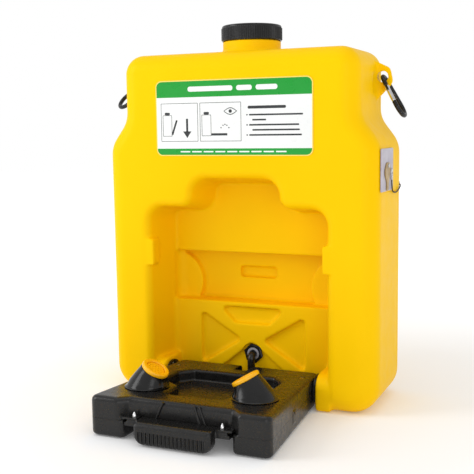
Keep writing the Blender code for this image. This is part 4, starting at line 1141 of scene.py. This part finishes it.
def spray_cone(side, word, lean, ring_centre):
    """The flared body, whose skirt follows the tray's slope and whose rim leans with the ring."""
    base = Vector((side * NOZZLE_X, NOZZLE_Y, 0))
    upright = Vector(UP)
    top = tray_top(NOZZLE_Y)
    rim = ring_centre - lean * 3.3
    rim_radius = 20.4
    seam = 1.2

    def skirt(radius, lift):
        return [Vector((p.x, p.y, tray_top(p.y) + lift)) for p in circle(base, upright, radius)]

    flare = [
        skirt(NOZZLE_BASE_RADIUS - 0.6, GAP),
        skirt(NOZZLE_BASE_RADIUS, GAP + 0.5),
        skirt(NOZZLE_BASE_RADIUS, seam),
    ]
    for k in range(1, 13):
        share = k / 12
        radius = rim_radius + (NOZZLE_BASE_RADIUS - rim_radius) * (1 - share) ** 1.25
        centre = (base + upright * (top + seam)).lerp(rim, share)
        ring = circle(centre, upright.lerp(lean, share).normalized(), radius)
        blend = min(1.0, share * 3)
        flare.append([a.lerp(b, blend) if k < 3 else b for a, b in zip(skirt(radius, seam), ring)])
    stem = ((37, 5.3), (43, 5.3), (43, 9), (top, 9), (top + 1.4, 9))
    throat = ((0, 14.2), (0.6, 13.6), (8, 12.5))
    sections = [circle(base + upright * z, upright, radius) for z, radius in stem]
    sections += flare
    sections += [circle(rim - lean * depth, lean, radius) for depth, radius in throat]
    sections += [circle(base + upright * z, upright, 3.8) for z in (56, 37)]
    body = shade(mesh_from("spray_cone_" + word, sections, closed=True))
    place_piece(body, "tray", "gloss_black", "nozzle_body_" + word)


def nozzle(side, word):
    """A spray head: the flared body, a thick leaning ring and a drilled spray screen."""
    lean = Vector((-side * math.sin(NOZZLE_TILT), 0, math.cos(NOZZLE_TILT)))
    ring_centre = Vector((side * RING_X, NOZZLE_Y, RING_Z))
    spray_cone(side, word, lean, ring_centre)
    ring = [(-3, RING_RADIUS - 1.2)]
    ring += [(-1.6 - 1.4 * c, RING_RADIUS - 1.4 + 1.4 * s) for c, s in arc(4)]
    ring += [(0.6 + 2.4 * s, RING_RADIUS - 2.4 + 2.4 * c) for c, s in arc(6)]
    ring += [(3, 15.6), (2.6, 14.6), (1.8, 14), (-3, 14)]
    ring = turned("spray_ring_" + word, ring_centre, lean, ring, NOZZLE_SIDES, closed=True)
    place_piece(shade(ring, 50), "tray", "yellow_ring", "nozzle_ring_" + word)
    screen = turned("screen_" + word, ring_centre, lean, [(-1.5, 13.5), (0.1, 13.5), (0.5, 13.1)], 48)
    drills = []
    for reach, count in ((0, 1), (5, 6), (9.6, 12)):
        drills += [rod(place, lean, -5, 5, 1.0, 12) for place in circle(ring_centre, lean, reach, count)]
    cut(screen, *drills)
    place_piece(shade(screen), "tray", "yellow_ring", "spray_screen_" + word)


# ---------------------------------------------------------------- hinge, outlet and valve


def turned_piece(name, node, body, slot, centre, axis, profile, sides=48, chamfer=0.3, closed=False):
    """A turned part with small chamfers that stands for one node."""
    profile = chamfered(profile, chamfer) if closed else profile
    return place_piece(shade(turned(name, centre, axis, profile, sides, closed)), body, slot, node)


def ring_profile(start, end, inner, outer):
    return [(start, outer), (end, outer), (end, inner), (start, inner)]


def stop_slot(side):
    """A quarter-circle slot with round ends, about the hinge axis, that the stop pin runs in."""
    half = STOP_PIN_RADIUS + 0.5
    outline = []
    for edge, first, last in ((half, math.pi / 2, math.pi), (-half, math.pi, math.pi / 2)):
        bend = arc(16, first, last)
        outline += [Vector(direction) * (STOP_CIRCLE + edge) for direction in bend]
        outward = Vector(bend[-1])
        for k in range(1, 8):
            outline.append(outward * STOP_CIRCLE + Matrix.Rotation(math.pi * k / 8, 2) @ outward * edge)
    sections = [[(side * x, HINGE_Y + p.x, HINGE_Z + p.y) for p in outline] for x in (118, 130)]
    return mesh_from("slot", sections)


def hinge(side, word):
    centre = (0, HINGE_Y, HINGE_Z)
    stop = (0, HINGE_Y, HINGE_Z + STOP_CIRCLE)
    axis = (side, 0, 0)
    pin = [(110, 4.6), (110.4, 5), (167.6, 5), (168, 4.6)]
    turned_piece("pivot_pin_" + word, "hinge_pin_" + word, "tank", "steel", centre, axis, pin)
    peg = [(122.8, 1.8), (123.2, 2.2), (165.6, 2.2), (166, 1.8)]
    turned_piece("stop_peg_" + word, "stop_pin_" + word, "tank", "steel", stop, axis, peg, 32)
    bore = PIN_RADIUS + GAP
    hub = chamfered([(109, 9), (121.8, 9), (121.8, 23), (125.8, 23), (125.8, bore), (109, bore)], 0.4)
    plate = turned("slotted_bushing_" + word, centre, axis, hub, 64, closed=True)
    cut(plate, stop_slot(side))
    place_piece(shade(plate), "tray", "black_plastic", "hinge_plate_" + word)


def hollow_tube(name, route, radius, bore, past):
    """A tube along a route, bored right through; past lengthens the bore at each end."""
    tube = tube_along(name, route, radius, 5)
    first = (route[0] - route[1]).normalized() * past
    last = (route[-1] - route[-2]).normalized() * past
    return cut(tube, tube_along("bore", [route[0] + first, *route[1:-1], route[-1] + last], bore, 5))


def outlet():
    centre = (0, FRONT_Y, OUTLET_Z)
    wall_back = POCKET_DEPTH + TANK_WALL
    flange = wall_back + 2.6
    fitting = [(71.4, 10), (flange, 10), (flange, 17), (flange + 4.4, 17), (flange + 4.4, 6.5), (71.4, 6.5)]
    seal = ring_profile(wall_back + GAP, wall_back + 2.3, 10.3, 16.5)
    for name, node, slot, profile in (
        ("through_fitting", "bulkhead_fitting", "grey_plastic", fitting),
        ("outlet_seal", "bulkhead_gasket", "rubber", seal),
    ):
        turned_piece(name, node, "tank", slot, centre, BACK, profile, closed=True)
    nut = turned("outlet_nut", centre, BACK, [(71.8, 14.6), (72.8, 16.5), (POCKET_DEPTH - GAP, 16.5)], 6)
    cut(nut, rod(centre, BACK, 60, 90, 10.4, 48))
    place_piece(shade(nut, 25), "tank", "black_plastic", "bulkhead_nut")
    bends = ((84, OUTLET_Z), (63.5, OUTLET_Z), (63.5, HINGE_Z), (47.5, HINGE_Z))
    route = rounded_route([(0, FRONT_Y + y, z) for y, z in bends], 8)
    elbow = hollow_tube("bent_pipe", route, PIPE_RADIUS, PIPE_RADIUS - 2, 2)
    place_piece(shade(elbow), "tank", "black_plastic", "outlet_elbow")


def valve():
    centre = (0, HINGE_Y, HINGE_Z)
    body = turned("valve_barrel", centre, ACROSS, [(-24, 14.4), (-23.4, 15), (23.4, 15), (24, 14.4)], 64)
    join(body, rod(centre, BACK, 5, 25, 9, 48))
    cut(body, rod(centre, ACROSS, -30, 30, 9.8, 48), rod(centre, BACK, 0, 30, PIPE_RADIUS + GAP, 40))
    place_piece(shade(body), "tank", "grey_plastic", "valve_body")
    right = [(15.5, 9.5), (15.5, 7.9), (18.5, 7.9), (18.5, 9.5)]
    right += [(23.7, 9.5), (23.7, 7.0), (30, 7.0), (30, 5.3), (42, 5.3)]
    outer = [(-a, r) for a, r in reversed(right)] + right
    rotor = turned("drilled_rotor", centre, ACROSS, outer + [(42, 3.8), (-42, 3.8)], 48, closed=True)
    cut(rotor, rod(centre, BACK, 0, 15, 3.6, 24))
    place_piece(shade(rotor), "tray", "grey_plastic", "valve_rotor")
    cover = ring_profile(24 + GAP, 27.3, 7.3, VALVE_RADIUS)
    for side, word in SIDES:
        names = ("valve_cover_" + word, "valve_cap_" + word)
        turned_piece(*names, "tank", "grey_plastic", centre, (side, 0, 0), cover, closed=True)
        ring = torus("seal_ring_" + word, (side * 17, HINGE_Y, HINGE_Z), ACROSS, 8.75, 0.7)
        place_piece(shade(ring, 60), "tray", "rubber", "o_ring_" + word)


def tray_hose(side, word):
    """The hose from the rotor's end to the nozzle's stem, with its clamp."""
    knots = [
        (35, HINGE_Y, HINGE_Z),
        (42, HINGE_Y, HINGE_Z),
        (49, HINGE_Y, HINGE_Z),
        (62, HINGE_Y - 8, 25),
        (76, HINGE_Y - 30, 17),
        (84, FRONT_Y - 40, 13.8),
        (84, FRONT_Y - 80, 13.8),
        (84, FRONT_Y - 108, 14.5),
        (84, FRONT_Y - 123, 19),
        (84, NOZZLE_Y, 28),
        (84, NOZZLE_Y, 35),
        (84, NOZZLE_Y, 42),
    ]
    route = smooth_route([(side * x, y, z) for x, y, z in knots], 4)
    hose = shade(hollow_tube("feed_hose_" + word, route, 7.7, 5.9, 2))
    place_piece(hose, "tray", "rubber", "hose_" + word)
    clamp = ring_profile(-2.5, 2.5, 8.1, 9.2)
    names = ("band_clamp_" + word, "hose_clamp_" + word)
    turned_piece(*names, "tray", "steel", (side * 38.5, HINGE_Y, HINGE_Z), ACROSS, clamp, closed=True)


# ---------------------------------------------------------------- carabiners


def axes_matrix(axes, origin):
    """A placement whose columns are the three axes, with its origin in metres."""
    place = Matrix.Identity(4)
    for column, axis in enumerate(axes):
        for row in range(3):
            place[row][column] = axis[row]
    place.translation = Vector(origin)
    return place


def snap_frame(side, tilt, twist):
    """The carabiner's own axes: u across the loop, v down its length from the ear hole, w square to it."""
    down = Vector((side * math.sin(tilt), 0, -math.cos(tilt)))
    across = Matrix.Rotation(twist, 3, down) @ Vector(BACK)
    origin = Vector((side * EAR_HOLE_X, EAR_Y, EAR_HOLE_Z)) * MM
    return axes_matrix((across, down, across.cross(down)), origin)


def snap_tangent():
    """Start and direction of the loop's straight gate side, from the small end to the big end."""
    lean = math.asin((SNAP_BIG - SNAP_SMALL) / SNAP_SPACING)
    normal = Vector((-math.cos(lean), -math.sin(lean), 0))
    start = Vector((0, SNAP_SMALL, 0)) + normal * SNAP_SMALL
    end = Vector((0, SNAP_SMALL + SNAP_SPACING, 0)) + normal * SNAP_BIG
    return start, (end - start).normalized(), normal


def snap_block(pin, along, low, high, half_width, plane):
    """A block lined up with the gate, between two heights of the loop's plane."""
    across = Vector((-along.y, along.x, 0))
    corners = [pin + along * a + across * b for a, b, _ in rectangle(low, -half_width, high, half_width)]
    return mesh_from("block", [[corner + Vector(UP) * w for corner in corners] for w in plane])


def carabiner(side, word, tilt, twist):
    """A pear-shaped snap hook with a sprung gate on a pin."""
    start, along, normal = snap_tangent()
    lean = math.atan2(-normal.y, -normal.x)
    route = [start + along * SNAP_NOSE]
    for height, radius, first, last, steps in (
        (SNAP_SMALL + SNAP_SPACING, SNAP_BIG, math.pi + lean, -lean, 36),
        (SNAP_SMALL, SNAP_SMALL, -lean, lean - math.pi, 24),
    ):
        centre = Vector((0, height, 0))
        route += [centre + Vector((c, s, 0)) * radius for c, s in arc(steps, first, last)]
    route.append(start + along * 13.5)
    pin = start + along * GATE_PIN
    hook = tube_along("hook_" + word, route, SNAP_WIRE, 6)
    cut(hook, *[snap_block(pin, along, -4.5, 5, 5, sorted((w * 1.5, w * 6))) for w in (-1, 1)])
    cut(hook, rod(pin, UP, -6, 6, 1.4, 24))
    bar_profile = [(-2.4, 2.8), (-2.0, 3.2)]
    bar_profile += [(GATE_LENGTH - 1.8, 3.2), (GATE_LENGTH - 0.8, 3.0), (GATE_LENGTH, 2.4)]
    gate = turned("gate_" + word, pin, along, bar_profile, 32)
    cut(gate, snap_block(pin, along, -5, 5.5, 5, (-1.8, 1.8)))
    cut(gate, rod(pin, UP, -6, 6, 1.4, 24))
    rivet = turned("gate_rivet_" + word, pin, UP, [(-3.8, 0.9), (-3.6, 1.1), (3.6, 1.1), (3.8, 0.9)], 24)
    place = snap_frame(side, tilt, twist)
    for obj, body, slot, node in (
        (hook, "carabiner_", "black_steel", "carabiner_body_"),
        (gate, "gate_", "steel", "carabiner_gate_"),
        (rivet, "carabiner_", "steel", "gate_pin_"),
    ):
        obj.data.transform(place)
        place_piece(shade(obj), body + word, slot, node + word)


# ---------------------------------------------------------------- side tag and lanyard


def side_tag():
    """The riveted plate on the tank's side, with its swinging brass tag and the cord's ring."""
    corners = rectangle(FRONT_Y + 20, 329, FRONT_Y + 91, 391, 3)
    levels = [(SIDE_X + GAP, 0), (SIDE_X + 1.4, 0), (SIDE_X + 1.8, -0.4)]
    plate = stack("tag_back_plate", corners, levels, facing_x, 6)
    places = (TAG_PIVOT, RING_RIVET)
    cut(plate, *[rod((0, *place), ACROSS, SIDE_X - 5, SIDE_X + 5, 1.9, 24) for place in places])
    place_piece(shade(plate), "tank", "grey_plastic", "tag_plate", material=PLATE_GREY)
    y, z = TAG_PIVOT
    shape = [
        (y - 9, z - 36, 3),
        (y + 2, z - 36, 3),
        (y + 4, z - 24, 8),
        (y + 12, z - 12, 9),
        (y + 11, z + 4.5, 6),
        (y - 9, z + 4.5, 6),
        (y - 22, z - 9, 8),
        (y - 8, z - 25, 8),
    ]
    levels = [(SIDE_X + 2.2, 0), (SIDE_X + 3.2, 0), (SIDE_X + 3.6, -0.5)]
    tag = stack("brass_tag", shape, levels, facing_x)
    cut(tag, rod((0, *TAG_PIVOT), ACROSS, SIDE_X, SIDE_X + 6, 1.9, 24))
    for k in range(4):
        line_y, line_z = y - 8 + 1.2 * k, z - 9 - 4.5 * k
        low, high = (SIDE_X + 3.4, line_y - 6 + k, line_z - 0.5), (SIDE_X + 4, line_y + 9 - k, line_z + 0.5)
        cut(tag, box(low, high))
    place_piece(shade(tag), "tag", "brass", "inspection_tag")
    shape = [(0.3, 1.5), (4.2, 1.5), (4.2, 3.2), (4.6, 3.0), (5, 2.0)]
    shape = [(SIDE_X + out, radius) for out, radius in shape]
    for name, node, place in zip(("rivet_front", "rivet_rear"), ("tag_rivet", "ring_rivet"), places):
        turned_piece(name, node, "tank", "steel", (0, *place), ACROSS, shape, 32)
    ring_centre = (SIDE_X + 3.3, RING_RIVET[0], RING_RIVET[1] - 2.2)
    ring = torus("split_ring", ring_centre, ACROSS, 4.8, 0.75)
    place_piece(shade(ring, 60), "tank", "steel", "tag_ring")


def round_corner(degrees, lift, height):
    """A point on the tank's rear right corner, lifted off the wall."""
    angle = math.radians(degrees)
    reach = TANK_EDGE_RADIUS + lift
    x = SIDE_X - TANK_EDGE_RADIUS + reach * math.cos(angle)
    return (x, BACK_Y - TANK_EDGE_RADIUS + reach * math.sin(angle), height)


def lanyard():
    """The twisted cord from the ring round the tank's rear corner into its anchor."""
    low_y, low_z = RING_RIVET[0], RING_RIVET[1] - 2.2 - 5.55 - GAP
    crimp_profile = [(0, 1.1), (0.3, 1.4), (2.4, 1.4), (2.8, 1.15), (3.2, 1.4), (5.7, 1.4), (6, 1.1)]
    top = (SIDE_X + 3.4, low_y, low_z)
    crimp = turned("crimp_sleeve", top, (0, 0, -1), crimp_profile, 24)
    crimp = place_piece(shade(crimp), "tank", "steel", "cord_crimp")
    knots = [
        (SIDE_X + 3.4, low_y, low_z - 6 - GAP),
        (SIDE_X + 3.5, low_y + 0.3, low_z - 12),
        (SIDE_X + 3.4, low_y + 6, 327.5),
        (SIDE_X + 3.2, FRONT_Y + 96, 324.2),
        (SIDE_X + 2.6, FRONT_Y + 112, 324),
        (SIDE_X + 2.0, FRONT_Y + 130, 327.2),
        round_corner(6, 1.6, 330.5),
        round_corner(22, 1.6, 332.6),
        round_corner(39.2, 1.8, 333.6),
    ]
    path = smooth_route(knots, 20)
    cord = place_piece(twisted_tube("twisted_cord", path), "tank", "cord", "tag_cord")


def twisted_tube(name, path):
    """A three-strand cord: its lobed section turns as it follows the path."""
    around, pitch = 18, 5.0
    sections = []
    run = 0.0
    side = Vector(ACROSS)
    for k, here in enumerate(path):
        along = (path[min(k + 1, len(path) - 1)] - path[max(k - 1, 0)]).normalized()
        if k:
            run += (here - path[k - 1]).length
        side = (side - along * side.dot(along)).normalized()
        other = along.cross(side)
        section = []
        for j in range(around):
            angle = 2 * math.pi * j / around
            lobe = abs(math.cos(1.5 * (angle - 2 * math.pi * run / pitch)))
            radius = CORD_RADIUS * (0.8 + 0.2 * lobe)
            section.append(here + (side * math.cos(angle) + other * math.sin(angle)) * radius)
        sections.append(section)
    return shade(mesh_from(name, sections), 80)


# ---------------------------------------------------------------- stage


def carried_nodes():
    """Finishes for the frame's own nodes that stay as they are."""
    for name in ("nozzle_nut_left", "nozzle_nut_right", "cord_anchor"):
        paint(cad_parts[name], FINISHES["black_plastic"])
    paint(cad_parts["strainer"], FINISHES["grey_plastic"])


def floor():
    """A plain white floor that glows a little more with distance, so that it meets the backdrop unseen."""
    shader = Shader("studio_floor", 0.6, specular=0.0)
    shader.surface.inputs["Emission Color"].default_value = WHITE
    distance = shader.nodes.new("ShaderNodeVectorMath")
    distance.operation = "LENGTH"
    shader.links.new(shader.stretched((0.5, 0.5, 0.5)), distance.inputs[0])
    shader.feed("Emission Strength", shader.ramp(distance.outputs["Value"], 0.2, 0.55, 0.09, 0.36))
    tone = shader.ramp(shader.noise(3.0, 2.0), 0.3, 0.7, (0.95, 0.95, 0.95), (0.97, 0.97, 0.97))
    shader.feed("Base Color", tone)
    mesh = bpy.data.meshes.new("studio_floor")
    size = 6.0
    mesh.from_pydata([(u, v, 0) for u, v, _ in rectangle(-size, -size, size, size)], [], [(0, 1, 2, 3)])
    mesh.materials.append(shader.material)
    link("studio_floor", mesh)


def area_light(name, place, size, power):
    """A soft white light aimed at the station's middle."""
    data = bpy.data.lights.new(name, "AREA")
    data.shape = "RECTANGLE"
    data.size, data.size_y = size
    data.energy = power
    light = link(name, data)
    light.location = place
    light.rotation_euler = (Vector((0, 0, 0.25)) - Vector(place)).to_track_quat("-Z", "Y").to_euler()


def lights():
    area_light("key", (-1.6, -1.1, 1.1), (0.8, 1.4), 13)
    area_light("fill", (1.3, -1.7, 0.6), (0.8, 1.0), 4)
    area_light("top", (0.0, -0.3, 2.0), (1.4, 0.9), 3)


def backdrop():
    """A world that lights the scene at part strength and is plain white where the camera sees it."""
    world = bpy.data.worlds.new("studio")
    world.use_nodes = True
    nodes, connect = world.node_tree.nodes, world.node_tree.links.new
    ambient = nodes["Background"]
    seen = nodes.new("ShaderNodeBackground")
    for background, strength in ((ambient, 0.77), (seen, 1.0)):
        background.inputs["Color"].default_value = WHITE
        background.inputs["Strength"].default_value = strength
    mix = nodes.new("ShaderNodeMixShader")
    connect(nodes.new("ShaderNodeLightPath").outputs["Is Camera Ray"], mix.inputs["Fac"])
    connect(ambient.outputs["Background"], mix.inputs[1])
    connect(seen.outputs["Background"], mix.inputs[2])
    connect(mix.outputs["Shader"], nodes["World Output"].inputs["Surface"])
    bpy.context.scene.world = world
    bpy.context.scene.view_settings.view_transform = "Standard"


def camera():
    """The viewing position of the reference picture: from the right, a little above."""
    yaw, pitch, roll = math.radians(23.33), math.radians(7.17), math.radians(-0.82)
    level = math.cos(pitch)
    forward = Vector((-math.sin(yaw) * level, math.cos(yaw) * level, -math.sin(pitch)))
    right = Vector((math.cos(yaw), math.sin(yaw), 0))
    up = right.cross(forward)
    across = right * math.cos(roll) + up * math.sin(roll)
    upward = -right * math.sin(roll) + up * math.cos(roll)
    data = bpy.data.cameras.new("camera")
    data.sensor_width = 36
    data.lens = 66.1
    obj = link("camera", data)
    obj.matrix_world = axes_matrix((across, upward, -forward), (0.522, -1.280, 0.424))
    bpy.context.scene.camera = obj


camera()
lights()
backdrop()
floor()
lanyard()
tank()
neck_thread()
label()
ribbed_cap()
whole_tray = tray_body()
tray_upper(whole_tray)
tray_lower(whole_tray)
bpy.data.objects.remove(whole_tray)
handle()
tray_screws()
outlet()
valve()
for hand, hand_word in SIDES:
    nozzle(hand, hand_word)
    hinge(hand, hand_word)
    tray_hose(hand, hand_word)
carabiner(1, "right", math.radians(29), 0.0)
carabiner(-1, "left", math.radians(62), math.radians(-40))
side_tag()
carried_nodes()
